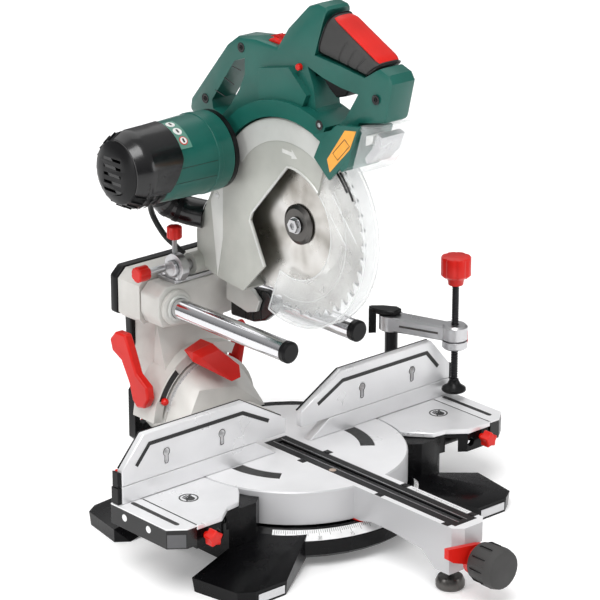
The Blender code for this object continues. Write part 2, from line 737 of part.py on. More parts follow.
def lock_button():
    bm = rod("X", (0, -22, 548), 4, -13.5, -3, 12, 0.8)
    add_object("lock_button", bm, "lock_button", "red")


def light_switch():
    outline = [(17, 557), (41, 557), (41, 565.5), (30, 570), (17, 565.5)]
    rocker = add_object("light_switch", prism("YZ", outline, -0.5, 18.5), "light_switch", "red")
    soften(rocker, 1.0)


def motor_housing():
    body = "head"
    profile = [(40, -36.4), (46.5, -36.4), (46.5, -60), (44, -128), (40, -128)]
    add_object("motor_housing", turned("X", (0, *MOTOR), profile, 32), body, "green")


def motor_cap():
    body = "head"
    profile = [(0, -176), (26, -176), (36, -171), (44, -156), (44.5, -128.4), (37, -128.4)]
    profile += [(37, -168), (0, -168)]
    cap = add_object("motor_cap", turned("X", (0, *MOTOR), profile, 24), body, "black")
    for i in range(5):
        z = MOTOR[1] - 20 + 9 * i
        cut(cap, body, box(-180, -160, MOTOR[0] - 14, MOTOR[0] + 16, z - 1.6, z + 1.6))


def motor_stator():
    add_object("motor_stator", tube("X", (0, *MOTOR), 25, 39.6, -110, -55, 24), "head", "copper")


def motor_rotor():
    """Armature, its shaft and the small belt pulley on the shaft's far end."""
    profile = [(0, -160), (5, -160), (5, -118), (14, -118), (14, -108), (23, -108), (23, -57),
               (5, -57), (5, 23), (13, 23), (13, 34.8), (0, 34.8)]
    add_object("motor_rotor", turned("X", (0, *MOTOR), profile, 20), "motor", "copper")


def stadium(first, r1, second, r2, steps):
    """Outline of a belt round two circles."""
    dy = second[0] - first[0]
    dz = second[1] - first[1]
    distance = math.hypot(dy, dz)
    heading = math.degrees(math.atan2(dz, dy))
    lean = math.degrees(math.acos((r1 - r2) / distance))
    points = arc(first, r1, heading + lean, heading + 360 - lean, steps)
    points += arc(second, r2, heading - lean, heading + lean, steps)
    return points


def gear_case():
    """Motor flange and belt housing in one casting, hollow round the belt."""
    body = "head"
    bm = prism("YZ", stadium(MOTOR, 34, BLADE_C, 30, 14), 18, CASE_OUT)
    case = add_object("gear_case", bm, body, "black")
    neck = [(98, 450.5), (88, 434), (129, 376), (146, 388), (147, 450.5)]
    join(case, body, prism("YZ", neck, -31, 19))
    join(case, body, rod("X", (0, *MOTOR), 46, -36, -30, 32))
    cut(case, body, rod("X", (0, *BLADE_C), 127, -29, 17.7, 48))
    cut(case, body, prism("YZ", stadium(MOTOR, 30, BLADE_C, 26, 14), 21, CASE_OUT - 3))
    join(case, body, tube("X", (0, *BLADE_C), 13, 22.6, 4, 20, 32))
    cut(case, body, rod("X", (0, *BLADE_C), 13, 0, 22, 20))
    cut(case, body, rod("X", (0, *MOTOR), 9, -45, 22, 16))


def drive_belt():
    body = "head"
    bm = prism("YZ", stadium(MOTOR, 15.6, BLADE_C, 22.6, 14), 24.5, 33.5)
    belt = add_object("drive_belt", bm, body, "rubber")
    cut(belt, body, prism("YZ", stadium(MOTOR, 13.3, BLADE_C, 20.3, 14), 20, 50))


def upper_guard():
    body = "head"
    outline = arc(BLADE_C, GUARD_R, 35, 121, 18)
    outline += [(-60, 410)]
    outline += arc(BLADE_C, 70, 133, 88, 8)
    outline += [(51.7, 363), (55, 353), (34, 310), (30.5, 303), (68, 264), (124, 270.5)]
    outline += [(143.2, 273.8), (152, 276), (160, 288), (161, 314), (126, 370)]
    guard = add_object("upper_guard", prism("YZ", outline, -17, 17), body, "guard_grey")
    cut(guard, body, rod("X", (0, *BLADE_C), CAVITY_R, -14, 14, 48))
    wedge = [(-20, 113, 240), (-17, 113, 240), (-20, 175, 240), (-6, 175, 240)]
    wedge += [(x, y, 380) for x, y, z in wedge]
    cut(guard, body, hull(wedge))
    hub = rod("X", (0, *PIVOT), 13, -24, 24, 24)
    join(guard, body, hub)
    cut(guard, body, rod("X", (0, *PIVOT), 6.4, -30, 30, 16))
    return guard


def lower_guard():
    body = "lower_guard"
    shell = add_object("lower_guard", prism("YZ", sector(BLADE_C, 24, LOWER_GUARD_R, 127, 292, 22), -11, 11),
                       body, "clear")
    cut(shell, body, prism("YZ", sector(BLADE_C, 10, LOWER_GUARD_R - 2.4, 120, 300, 24), -9.4, 9.4))
    cut(shell, body, prism("YZ", sector(BLADE_C, 10, 62, 110, 310, 16), -20, 0))
    join(shell, body, tube("X", (0, *BLADE_C), 23, 29, 9.4, 11, 24))
    return shell


def arbor_shaft():
    """Arbor with its large belt pulley."""
    profile = [(0, -7.5), (6, -7.5), (6, 1.5), (11.5, 1.6), (11.5, 22.5), (20, 23), (20, 34.8), (0, 34.8)]
    add_object("arbor_shaft", turned("X", (0, *BLADE_C), profile, 24), "blade", "steel")


def saw_blade():
    """A ring with raked teeth; its bore is clear of the arbor."""
    teeth = 24
    outline = []
    for i in range(teeth):
        start = 360 * i / teeth
        for offset, radius in ((0, BLADE_R), (3, BLADE_R - 1), (7, BLADE_R - 7)):
            angle = math.radians(start + offset)
            outline.append((BLADE_C[0] + radius * math.cos(angle), BLADE_C[1] + radius * math.sin(angle)))
    blade = add_object("saw_blade", prism("YZ", outline, -KERF_HALF, KERF_HALF), "blade", "steel")
    cut(blade, "blade", rod("X", (0, *BLADE_C), 6.3, -5, 5, 24))


def blade_flange():
    profile = [(6.3, -1.6), (23, -1.6), (23.5, -3.5), (19, -6.5), (6.3, -6.5)]
    add_object("blade_flange", turned("X", (0, *BLADE_C), profile, 32), "blade", "steel")


def arbor_bolt():
    points = []
    for i in range(6):
        angle = math.radians(60 * i)
        points.append((BLADE_C[0] + 8.5 * math.cos(angle), BLADE_C[1] + 8.5 * math.sin(angle)))
    bolt = add_object("arbor_bolt", prism("YZ", points, -13, -8), "blade", "steel")
    join(bolt, "blade", rod("X", (0, *BLADE_C), 10, -8.5, -7.8, 16))
    cut(bolt, "blade", rod("X", (0, *BLADE_C), 4, -15, -10, 6))


def dust_elbow():
    route = [(0, 149.4, 334.1), (-1, 161, 341.4), (-8, 178, 347), (-16, 190, 360), (-18, 192, 386)]
    route = smooth_route(route, 2)
    add_object("dust_elbow", sweep(route, 17, 14.5, 14), "head", "black")


def lamp_window():
    outline = [(-121, 502.2), (-161, 511.2), (-172, 498), (-156, 480), (-132, 452), (-116, 454)]
    outline += [(-130.5, 498)]
    lamp = add_object("lamp_window", prism("YZ", outline, -18, 28), "head", "clear")
    soften(lamp, 1.5)


def head_cable():
    """Cable from the motor cap down to the carriage."""
    route = smooth_route([(-70, 118, 384), (-66, 150, 372), (-54, 188, 352), (-38, 206, 327),
                          (-27, 199, 302), (-21, 185, 290), (-17, 175, 282)], 4)
    add_object("head_cable", sweep(route, 3.4, 0, 6), "head", "rubber")


def depth_stop_screw():
    body = "depth_stop"
    profile = [(0, 293.3), (3.2, 293.3), (3.2, 309), (6.5, 310), (9, 313), (9, 324), (7.5, 326), (0, 326)]
    add_object("depth_stop_screw", turned("Z", (-43, 160, 0), profile, 12), body, "red")


# --- clamp -------------------------------------------------------------------------------
def clamp_post():
    add_object("clamp_post", rod("Z", (*POST, 0), 8, 51, 160.5, 16, 1.0), "clamp_post", "black")


def clamp_arm():
    body = "clamp_arm"
    heading = math.atan2(SPINDLE[1] - POST[1], SPINDLE[0] - POST[0])
    across = Vector((-math.sin(heading), math.cos(heading)))
    start = Vector(POST)
    end = Vector(SPINDLE)
    outline = [tuple(start + across * 13), tuple(end + across * 11)]
    outline += [tuple(end - across * 11), tuple(start - across * 13)]
    arm = add_object("clamp_arm", prism("XY", outline, 162.8, 181), body, "steel")
    soften(arm, 2.0)
    join(arm, body, rod("Z", (*POST, 0), 15, 162.8, 181, 20))
    join(arm, body, rod("Z", (*SPINDLE, 0), 15.5, 162.8, 183, 24, 2.5))
    cut(arm, body, rod("Z", (*SPINDLE, 0), 4.9, 140, 200, 16))


def clamp_lever():
    """Black cam lever that holds the arm on its post."""
    body = "clamp_lever"
    outline = [(POST[0] - 17, POST[1] + 22), (POST[0] - 10, POST[1] + 27), (POST[0] + 2, POST[1] + 17)]
    outline += [(POST[0] + 12, POST[1] + 2), (POST[0] + 10, POST[1] - 8), (POST[0] - 4, POST[1] - 10)]
    outline += [(POST[0] - 14, POST[1] + 4)]
    lever = add_object("clamp_lever", prism("XY", outline, 181.4, 188), body, "black")
    soften(lever, 1.5)
    drop = [(POST[0] - 20, POST[1] + 19), (POST[0] - 11, POST[1] + 28), (POST[0] - 5, POST[1] + 22)]
    drop += [(POST[0] - 12, POST[1] + 14)]
    join(lever, body, prism("XY", drop, 156, 187))


def clamp_spindle():
    profile = [(0, 98), (14, 98), (15, 99.5), (14.5, 102), (7, 107), (5.5, 112), (4.5, 113)]
    profile += [(4.5, 233), (0, 233)]
    add_object("clamp_spindle", turned("Z", (*SPINDLE, 0), profile, 16), "clamp_screw", "black")


def clamp_knob():
    body = "clamp_screw"
    profile = [(0, 233.4), (7, 233.4), (9, 238), (16, 240), (CLAMP_KNOB_R, 243), (CLAMP_KNOB_R, 262),
               (16.5, 266), (8, 269), (0, 269.5)]
    knob = add_object("clamp_knob", turned("Z", (*SPINDLE, 0), profile, 24), body, "red")
    for i in range(8):
        angle = math.radians(45 * i + 22.5)
        place = (SPINDLE[0] + 21 * math.cos(angle), SPINDLE[1] + 21 * math.sin(angle), 0)
        cut(knob, body, rod("Z", place, 3.6, 238, 262, 8))


def main():
    clear_scene()
    make_empties()
    for build in (base_frame, tables, extensions, extension_knobs, fences, pivot_bolt, turntable,
                  table_insert, bevel_trunnion, rear_bracket, bevel_stop_button, levelling_foot,
                  mitre_knob, mitre_latch, column, column_rear_cover, guide_rails,
                  bevel_lock_lever, bevel_lever_right, bevel_index_lever, carriage, rail_bearings,
                  pivot_bracket, pivot_pin, return_spring, slide_lock_knob, head_housing,
                  handle_grip, trigger, lock_button, light_switch,
                  motor_housing, motor_cap, motor_stator, motor_rotor, gear_case,
                  drive_belt, upper_guard, lower_guard, arbor_shaft, saw_blade, blade_flange,
                  arbor_bolt, dust_elbow, lamp_window, head_cable, depth_stop_screw, clamp_post,
                  clamp_arm, clamp_lever, clamp_spindle, clamp_knob):
        build()


main()
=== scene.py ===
import bpy
import bmesh
import json
import math
from mathutils import Matrix, Vector


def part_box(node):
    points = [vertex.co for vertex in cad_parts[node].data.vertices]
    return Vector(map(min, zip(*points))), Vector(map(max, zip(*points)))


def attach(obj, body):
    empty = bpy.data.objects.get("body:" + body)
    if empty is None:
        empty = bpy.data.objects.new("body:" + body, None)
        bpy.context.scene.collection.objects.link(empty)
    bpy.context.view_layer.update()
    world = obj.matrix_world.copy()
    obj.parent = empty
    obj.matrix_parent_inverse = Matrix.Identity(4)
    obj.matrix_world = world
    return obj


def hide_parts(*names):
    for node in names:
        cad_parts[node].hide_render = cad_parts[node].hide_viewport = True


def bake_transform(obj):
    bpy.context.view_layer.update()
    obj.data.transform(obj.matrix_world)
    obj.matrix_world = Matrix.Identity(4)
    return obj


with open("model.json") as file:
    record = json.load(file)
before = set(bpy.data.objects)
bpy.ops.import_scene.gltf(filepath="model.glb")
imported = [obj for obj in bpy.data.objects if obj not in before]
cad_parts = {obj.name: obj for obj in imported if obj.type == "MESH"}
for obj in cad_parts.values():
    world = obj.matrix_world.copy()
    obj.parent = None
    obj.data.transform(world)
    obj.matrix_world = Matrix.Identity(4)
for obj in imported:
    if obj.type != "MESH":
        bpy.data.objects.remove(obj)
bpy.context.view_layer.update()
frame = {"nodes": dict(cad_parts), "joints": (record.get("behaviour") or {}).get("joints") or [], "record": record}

MM = 0.001
JOINTS = {joint["name"]: joint for joint in frame["joints"]}
ORIGIN = Vector((*JOINTS["mitre_turn"]["pos_m"][:2], 0.0))
SIDES = ((-1, "left"), (1, "right"))


def pivot_of(joint):
    """A joint's place in the saw's own frame, in millimetres."""
    return (Vector(JOINTS[joint]["pos_m"]) - ORIGIN) / MM


def reach(node):
    """Lowest and highest corner of a CAD node in the saw's own frame, in millimetres."""
    low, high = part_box(node)
    return (low - ORIGIN) / MM, (high - ORIGIN) / MM


BLADE = pivot_of("blade_spin")
BLADE_YZ = (BLADE.y, BLADE.z)
MOTOR = pivot_of("motor_spin")
CHOP = pivot_of("chop")
TABLE_TOP = reach("turntable")[1].z
BEVEL_Z = pivot_of("bevel_tilt").z
BLADE_R = reach("saw_blade")[1].z - BLADE.z
RAIL_LOW, RAIL_HIGH = reach("guide_rail_right")
RAIL_X = (RAIL_LOW.x + RAIL_HIGH.x) / 2
RAIL_Z = (RAIL_LOW.z + RAIL_HIGH.z) / 2
RAIL_R = (RAIL_HIGH.z - RAIL_LOW.z) / 2
EXTENSION_UNDER = TABLE_TOP - 1.6      # the extension's black wall starts here
SEAM_X = 226.0                         # where the pull-out extension meets the table
GUARD_FACE = -17.0                     # left face of the upper guard
GUARD_R = 124.0
BAND_INNER = 99.0                      # inner radius of the guard's light band
HOOD_FACE = 150.6                      # front face of the column's hood
DRUM_FACE = 149.6                      # front face of the bevel drum
MARK_LOW, MARK_HIGH = 0.02, 0.25       # printed marks stand this far off their face


# --- camera, light and floor ---
AZIMUTH, ELEVATION = math.radians(-41.6), math.radians(19.8)
DISTANCE, LENS, SENSOR = 3.4, 179.5, 36.0
TARGET = Vector((-0.00175, 0.03597, 0.27020))
HORIZON, SKY = (0.20, 0.20, 0.21, 1), (1.0, 1.0, 1.0, 1)
SKY_HEIGHT, WORLD_STRENGTH = 0.85, 0.62
SUNS = (("key", (-1.0, -0.75, 1.9), 2.1, 35), ("back", (0.5, 1.2, 1.8), 0.5, 50))
DISCS = (("front_fill", (0.9, -2.0, 0.9), 1.0, 7), ("left_strip", (-1.9, 0.1, 0.8), 0.5, 6))
LIGHT_AIM = Vector((0, 0, 0.25))
FLOOR_SIZE = 30


def in_scene(name, data):
    obj = bpy.data.objects.new(name, data)
    bpy.context.scene.collection.objects.link(obj)
    return obj


def facing(direction):
    return direction.to_track_quat("-Z", "Y").to_euler()


def set_stage():
    scene = bpy.context.scene
    scene.view_settings.view_transform = "Standard"
    away = Vector((math.sin(AZIMUTH) * math.cos(ELEVATION),
                   -math.cos(AZIMUTH) * math.cos(ELEVATION), math.sin(ELEVATION)))
    camera = in_scene("camera", bpy.data.cameras.new("camera"))
    camera.data.lens = LENS
    camera.data.sensor_width = SENSOR
    camera.location = TARGET + away * DISTANCE
    camera.rotation_euler = facing(-away)
    scene.camera = camera

    world = bpy.data.worlds.new("studio")
    world.use_nodes = True
    tree = world.node_tree
    background = tree.nodes["Background"]
    coords = tree.nodes.new("ShaderNodeTexCoord")
    split = tree.nodes.new("ShaderNodeSeparateXYZ")
    ramp = tree.nodes.new("ShaderNodeValToRGB")
    tree.links.new(coords.outputs["Generated"], split.inputs[0])
    tree.links.new(split.outputs["Z"], ramp.inputs[0])
    tree.links.new(ramp.outputs[0], background.inputs["Color"])
    low, high = ramp.color_ramp.elements
    low.position, low.color = 0.0, HORIZON
    high.position, high.color = SKY_HEIGHT, SKY
    background.inputs["Strength"].default_value = WORLD_STRENGTH
    scene.world = world

    for name, place, strength, spread in SUNS:
        sun = bpy.data.lights.new(name, "SUN")
        sun.energy = strength
        sun.angle = math.radians(spread)
        in_scene(name, sun).rotation_euler = facing(-Vector(place))
    for name, place, size, power in DISCS:
        disc = bpy.data.lights.new(name, "AREA")
        disc.shape = "DISK"
        disc.size = size
        disc.energy = power
        light = in_scene(name, disc)
        light.location = place
        light.rotation_euler = facing(LIGHT_AIM - light.location)

    bm = bmesh.new()
    bmesh.ops.create_grid(bm, x_segments=2, y_segments=2, size=FLOOR_SIZE)
    mesh = bpy.data.meshes.new("floor")
    bm.to_mesh(mesh)
    bm.free()
    mesh.materials.append(FINISHES["floor"])
    in_scene("floor", mesh)


# --- materials ---
class Finish:
    """A Principled material whose colour, roughness and bump vary in object space."""

    def __init__(self, name, colour, roughness, metallic=0.0, coat=0.0, specular=0.5):
        self.material = bpy.data.materials.new(name)
        self.material.use_nodes = True
        self.tree = self.material.node_tree
        self.shader = self.tree.nodes["Principled BSDF"]
        self.colour = colour
        self.roughness = roughness
        self.shader.inputs["Base Color"].default_value = (*colour, 1)
        self.shader.inputs["Roughness"].default_value = roughness
        self.shader.inputs["Metallic"].default_value = metallic
        self.shader.inputs["Coat Weight"].default_value = coat
        self.shader.inputs["Coat Roughness"].default_value = 0.15
        self.shader.inputs["Specular IOR Level"].default_value = specular
        self.coords = self.node("TexCoord").outputs["Object"]
        self.normal = None

    def feed(self, socket, value):
        """Set a socket, or link it where the value is another node's output."""
        if isinstance(value, bpy.types.NodeSocket):
            self.tree.links.new(value, socket)
        else:
            socket.default_value = value

    def node(self, kind, inputs=None, operation=None):
        made = self.tree.nodes.new("ShaderNode" + kind)
        if operation:
            made.operation = operation
        for socket, value in (inputs or {}).items():
            self.feed(made.inputs[socket], value)
        return made

    def drive(self, socket, value):
        self.tree.links.new(value, self.shader.inputs[socket])
        return self

    def stretched(self, scale):
        return self.node("Mapping", {"Scale": scale, "Vector": self.coords}).outputs[0]

    def noise(self, scale, detail=3.0, vector=None):
        inputs = {"Scale": scale, "Detail": detail, "Vector": vector or self.coords}
        return self.node("TexNoise", inputs).outputs["Fac"]

    def ramped(self, value, stops):
        node = self.node("ValToRGB", {0: value})
        elements = node.color_ramp.elements
        while len(elements) < len(stops):
            elements.new(0.5)
        for element, (position, colour) in zip(elements, stops):
            element.position = position
            element.color = (*colour, 1)
        return node.outputs[0]

    def ranged(self, value, low, high):
        inputs = {"From Min": 0.3, "From Max": 0.7, "To Min": low, "To Max": high, "Value": value}
        return self.node("MapRange", inputs).outputs[0]

    def vary_colour(self, scale, amount, detail=3.0):
        dark, light = (tuple(min(1, c * k) for c in self.colour) for k in (1 - amount, 1 + amount))
        return self.drive("Base Color", self.ramped(self.noise(scale, detail), [(0.3, dark), (0.7, light)]))

    def vary_roughness(self, scale, amount):
        value = self.ranged(self.noise(scale, 4.0), self.roughness - amount, self.roughness + amount)
        return self.drive("Roughness", value)

    def bump(self, height, strength, distance):
        node = self.node("Bump", {"Strength": strength, "Distance": distance * MM, "Height": height})
        if self.normal is not None:
            self.feed(node.inputs["Normal"], self.normal)
        self.normal = node.outputs[0]
        return self.drive("Normal", self.normal)

    def grain(self, scale, strength, distance=0.1, vector=None, detail=2.0):
        return self.bump(self.noise(scale, detail, vector), strength, distance)

    def polar(self, axis_point):
        """Offset from an axis that runs along X, and the distance from it."""
        shift = self.node("VectorMath", {0: self.coords, 1: axis_point}, "SUBTRACT").outputs[0]
        flat = self.node("VectorMath", {0: shift, 1: (0, 1, 1)}, "MULTIPLY").outputs[0]
        return flat, self.node("VectorMath", {0: flat}, "LENGTH").outputs["Value"]


def moulded(name, colour, roughness, coat=0.0, grain=0.25, specular=0.35):
    finish = Finish(name, colour, roughness, coat=coat, specular=specular)
    finish.vary_colour(22, 0.10).vary_roughness(60, 0.06)
    return finish.grain(1500, grain, 0.06).grain(90, 0.10, 0.25).material


def cast(name, colour, roughness, metallic, grain=0.5, specular=0.4):
    finish = Finish(name, colour, roughness, metallic, specular=specular)
    finish.vary_colour(30, 0.07).vary_roughness(45, 0.07)
    return finish.grain(520, grain, 0.10, detail=4.0).grain(40, 0.15, 0.4).material


def machined(name, colour, roughness, metallic, stretch):
    """Fine parallel tool marks along one direction, with smudges."""
    finish = Finish(name, colour, roughness, metallic)
    lines = finish.stretched(stretch)
    finish.vary_colour(14, 0.05, detail=5.0).vary_roughness(18, 0.08)
    return finish.grain(1.0, 0.22, 0.05, vector=lines, detail=3.0).grain(9, 0.08, 0.5).material


def blade_steel(name):
    """Ground plate: fine rings round the arbor, and light and dark fan-shaped sectors in its colour, a painted
    sheen, mixed with stains.
    """
    finish = Finish(name, (0.60, 0.58, 0.55), 0.30, 1.0)
    offset, distance = finish.polar(Vector((0, *BLADE_YZ)) * MM + ORIGIN)
    # fan-shaped light and dark sectors round the arbor: painted sheen
    painted_sheen_fans = finish.noise(1.6, 1.0, finish.node("VectorMath", {0: offset}, "NORMALIZE").outputs[0])
    stains = finish.noise(26, 5.0)
    mix = finish.node("Mix", {"Factor": 0.45, 2: painted_sheen_fans, 3: stains})
    tones = [(0.32, (0.30, 0.28, 0.25)), (0.50, (0.58, 0.56, 0.53)), (0.68, (0.78, 0.77, 0.75))]
    finish.drive("Base Color", finish.ramped(mix.outputs[0], tones))
    rings = finish.node("TexNoise", {"Scale": 2600})
    rings.noise_dimensions = "1D"
    finish.feed(rings.inputs["W"], distance)
    finish.bump(rings.outputs["Fac"], 0.18, 0.03)
    finish.shader.inputs["Anisotropic"].default_value = 0.75
    tangent = finish.node("Tangent")
    tangent.direction_type = "RADIAL"
    tangent.axis = "X"
    return finish.drive("Tangent", tangent.outputs[0]).vary_roughness(35, 0.06).material


def clear_plastic(name, colour, body, edge):
    """Polycarbonate: see-through face on, whiter where it is seen along its edge."""
    finish = Finish(name, colour, 0.12, coat=0.3)
    glance = finish.node("LayerWeight", {"Blend": 0.30}).outputs["Facing"]
    scratch = finish.noise(1.0, 2.0, finish.stretched((60, 900, 260)))
    haze = finish.noise(30, 4.0)
    total = finish.node("MapRange", {"To Min": body, "To Max": edge, "Value": glance}).outputs[0]
    for part in (finish.ranged(scratch, 0.0, 0.04), finish.ranged(haze, 0.0, 0.05)):
        total = finish.node("Math", {0: total, 1: part}, "ADD").outputs[0]
    finish.drive("Alpha", total).vary_colour(40, 0.05)
    return finish.grain(60, 0.10, 0.10).vary_roughness(50, 0.06).material


def printed(name, colour, roughness=0.4):
    finish = Finish(name, colour, roughness)
    finish.vary_colour(120, 0.08).vary_roughness(200, 0.05)
    return finish.grain(1800, 0.10, 0.03).material


def table_finish(name, other, edge_z=None):
    """Machined top; the colour changes below a height, or on faces that don't look up."""
    finish = Finish(name, (0.78, 0.78, 0.79), 0.34, 0.15)
    finish.vary_colour(14, 0.05, detail=5.0).vary_roughness(18, 0.08)
    finish.grain(1.0, 0.22, 0.05, vector=finish.stretched((40, 2600, 2600)), detail=3.0)
    # by the normal, faces that don't look up take the other colour; on the turntable that is partly the cast
    # skirt's own grey and partly painted shade on its sides
    if edge_z is None:
        source, limit = finish.node("TexCoord").outputs["Normal"], 0.8
    else:
        source, limit = finish.coords, edge_z * MM
    height = finish.node("SeparateXYZ", {0: source}).outputs["Z"]
    upper = finish.node("Math", {0: height, 1: limit}, "GREATER_THAN").outputs[0]
    mix = finish.node("Mix")
    mix.data_type = "RGBA"
    top_colour = finish.shader.inputs["Base Color"].links[0].from_socket
    for socket, value in (("Factor", upper), (6, (*other, 1)), (7, top_colour)):
        finish.feed(mix.inputs[socket], value)
    return finish.drive("Base Color", mix.outputs[2]).material


def floor_finish(name):
    finish = Finish(name, (0.93, 0.93, 0.93), 0.6, specular=0.15)
    finish.shader.inputs["Emission Color"].default_value = (1, 1, 1, 1)
    finish.shader.inputs["Emission Strength"].default_value = 0.16
    finish.vary_colour(3, 0.01).vary_roughness(6, 0.05)
    return finish.grain(300, 0.05, 0.05).material


GREEN = (0.0075, 0.098, 0.077)
BLACK = (0.0045, 0.0045, 0.005)
RED = (0.62, 0.009, 0.004)


ALONG_X = (40, 2600, 2600)
ALONG_Y = (2600, 40, 2600)
# Maker of each finish and its values after the name: colour, roughness and so on.
RECIPES = {
    "green_shell": (moulded, GREEN, 0.36, 0.12),
    # lighter copy of the green shell: a painted highlight, used on the motor's lit top
    "green_light": (moulded, (0.105, 0.26, 0.205), 0.40, 0.10),
    "black_plastic": (moulded, BLACK, 0.34, 0.05, 0.25, 0.2),
    "red_plastic": (moulded, RED, 0.34, 0.12, 0.12, 0.3),
    "grip_rubber": (moulded, (0.050, 0.049, 0.048), 0.60, 0.0, 0.6, 0.25),
    "cable_rubber": (moulded, (0.012, 0.012, 0.012), 0.55, 0.0, 0.3),
    "base_black": (cast, (0.0035, 0.0035, 0.004), 0.24, 0.0, 0.2, 0.16),
    "post_black": (cast, (0.018, 0.018, 0.020), 0.32, 0.7, 0.2),
    "casting_grey": (cast, (0.60, 0.59, 0.56), 0.40, 0.10),
    "guard_grey": (cast, (0.445, 0.450, 0.415), 0.42, 0.15, 0.7),
    # lighter guard grey; on the guard's fold it serves as a painted highlight
    "guard_light": (cast, (0.60, 0.605, 0.58), 0.38, 0.20, 0.5),
    "guard_mark": (printed, (0.62, 0.62, 0.60)),
    "table_metal": (machined, (0.80, 0.80, 0.81), 0.34, 0.35, ALONG_X),
    # darker grey on faces that don't look up: the skirt's own silver-grey, deepened as painted shade on the sides
    "turntable_metal": (table_finish, (0.50, 0.50, 0.51)),
    "extension_metal": (table_finish, BLACK, EXTENSION_UNDER),
    "fence_metal": (machined, (0.78, 0.78, 0.79), 0.33, 0.35, ALONG_X),
    "steel": (machined, (0.56, 0.56, 0.57), 0.30, 1.0, ALONG_Y),
    "chrome_rail": (machined, (0.74, 0.74, 0.76), 0.13, 1.0, (900, 25, 900)),
    "blade_steel": (blade_steel,),
    "carbide": (machined, (0.22, 0.22, 0.22), 0.35, 1.0, ALONG_X),
    "dark_steel": (machined, (0.11, 0.105, 0.10), 0.32, 1.0, ALONG_X),
    "winding": (machined, (0.62, 0.29, 0.12), 0.35, 1.0, ALONG_X),
    "clear_plastic": (clear_plastic, (0.84, 0.86, 0.86), 0.10, 0.50),
    # whiter, more opaque plastic: a painted highlight along the lower guard's edges
    "clear_edge": (clear_plastic, (0.90, 0.91, 0.91), 0.45, 0.85),
    "label_orange": (printed, (0.87, 0.37, 0.045)),
    "grey_plastic": (moulded, (0.10, 0.10, 0.105), 0.4, 0.0, 0.25, 0.3),
    "cap_gloss": (moulded, (0.0035, 0.0035, 0.004), 0.22, 0.3, 0.08, 0.4),
    "ink_black": (printed, (0.010, 0.010, 0.010)),
    "ink_white": (printed, (0.80, 0.80, 0.78)),
    "ink_red": (printed, (0.62, 0.04, 0.03)),
    "scale_white": (printed, (0.74, 0.74, 0.74)),
    "tan_pad": (printed, (0.42, 0.33, 0.27), 0.7),
    "floor": (floor_finish,),
}
FINISHES = {name: maker(name, *values) for name, (maker, *values) in RECIPES.items()}


# --- pieces ---
def add_piece(name, bm, body, finish, round_off=0.0, angle=32, stands_for=()):
    """Turn a bmesh in millimetres, or a list of them, into a visible piece that moves with a body."""
    if isinstance(bm, list):
        bm = merge(bm)
    bmesh.ops.remove_doubles(bm, verts=bm.verts, dist=1e-4)
    bmesh.ops.recalc_face_normals(bm, faces=bm.faces)
    bmesh.ops.scale(bm, vec=(MM, MM, MM), verts=bm.verts)
    bmesh.ops.translate(bm, vec=ORIGIN, verts=bm.verts)
    mesh = bpy.data.meshes.new(name)
    bm.to_mesh(mesh)
    bm.free()
    mesh.shade_smooth()
    obj = in_scene(name, mesh)
    mesh.materials.append(FINISHES[finish])
    if round_off:
        soften(obj, round_off)
    else:
        mesh.set_sharp_from_angle(angle=math.radians(angle))
    if body:
        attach(obj, body)
    if stands_for:
        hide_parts(*stands_for)
    return obj


def soften(obj, width, angle=30):
    mod = obj.modifiers.new("rounded_edges", "BEVEL")
    mod.width = width * MM
    mod.segments = 2
    mod.limit_method = "ANGLE"
    mod.angle_limit = math.radians(angle)
    mod.harden_normals = True
    mod.use_clamp_overlap = True


def merge(meshes):
    """Put several bmeshes into the first one."""
    first = meshes[0]
    for other in meshes[1:]:
        made = {v: first.verts.new(v.co) for v in other.verts}
        for face in other.faces:
            first.faces.new([made[v] for v in face.verts])
        other.free()
    return first


def placed(bm, matrix):
    bmesh.ops.transform(bm, matrix=matrix, verts=bm.verts)
    return bm


def plate(name, outline, low, high, finish, round_off=0.0, body="head"):
    """A flat piece drawn in the YZ plane, between two places along X."""
    add_piece(name, prism("YZ", outline, low, high), body, finish, round_off=round_off)


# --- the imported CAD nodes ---
NODE_FINISH = {
    "fence_lower_left": "fence_metal", "fence_lower_right": "fence_metal",
    "fence_upper_left": "fence_metal", "fence_upper_right": "fence_metal",
    "blade_flange": "dark_steel", "turntable": "turntable_metal", "levelling_foot": "dark_steel",
    "extension_left": "extension_metal", "extension_right": "extension_metal",
}
# Width of the rounded edges, by material slot and for single nodes.
EDGE_WIDTH = {
    "base_black": 0.8, "casting_grey": 0.8, "guard_grey": 0.7, "green_shell": 1.2,
    "black_plastic": 0.6, "red_plastic": 0.7, "grip_rubber": 1.2, "table_metal": 0.5,
    "clear_plastic": 0.4, "steel": 0.3, "blade_steel": 0.2, "chrome_rail": 0.5,
    "cable_rubber": 0.3, "winding": 0.3, "post_black": 0.4,
}
NODE_EDGE = {"head_housing": 3.0, "motor_housing": 1.5, "mitre_latch": 1.5}


def dress_cad_nodes():
    """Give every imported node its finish, clean shading and rounded edges."""
    slots = {part["node"]: part["material_slot"] for part in frame["record"]["subparts"]}
    for node, obj in frame["nodes"].items():
        mesh = obj.data
        if "custom_normal" in mesh.attributes:
            mesh.attributes.remove(mesh.attributes["custom_normal"])
        mesh.shade_smooth()
        mesh.materials.clear()
        mesh.materials.append(FINISHES[NODE_FINISH.get(node, slots[node])])
        weld = obj.modifiers.new("weld", "WELD")
        weld.merge_threshold = 2e-5
        flat = obj.modifiers.new("planar", "DECIMATE")
        flat.decimate_type = "DISSOLVE"
        flat.angle_limit = math.radians(0.6)
        soften(obj, NODE_EDGE.get(node, EDGE_WIDTH[slots[node]]))


# --- shape helpers (all return a bmesh in millimetres) ---
def lift(plane, a, b, c):
    """A point (a, b) of a drawing plane at depth c."""
    if plane == "YZ":
        return Vector((c, a, b))
    if plane == "XZ":
        return Vector((a, c, b))
    return Vector((a, b, c))


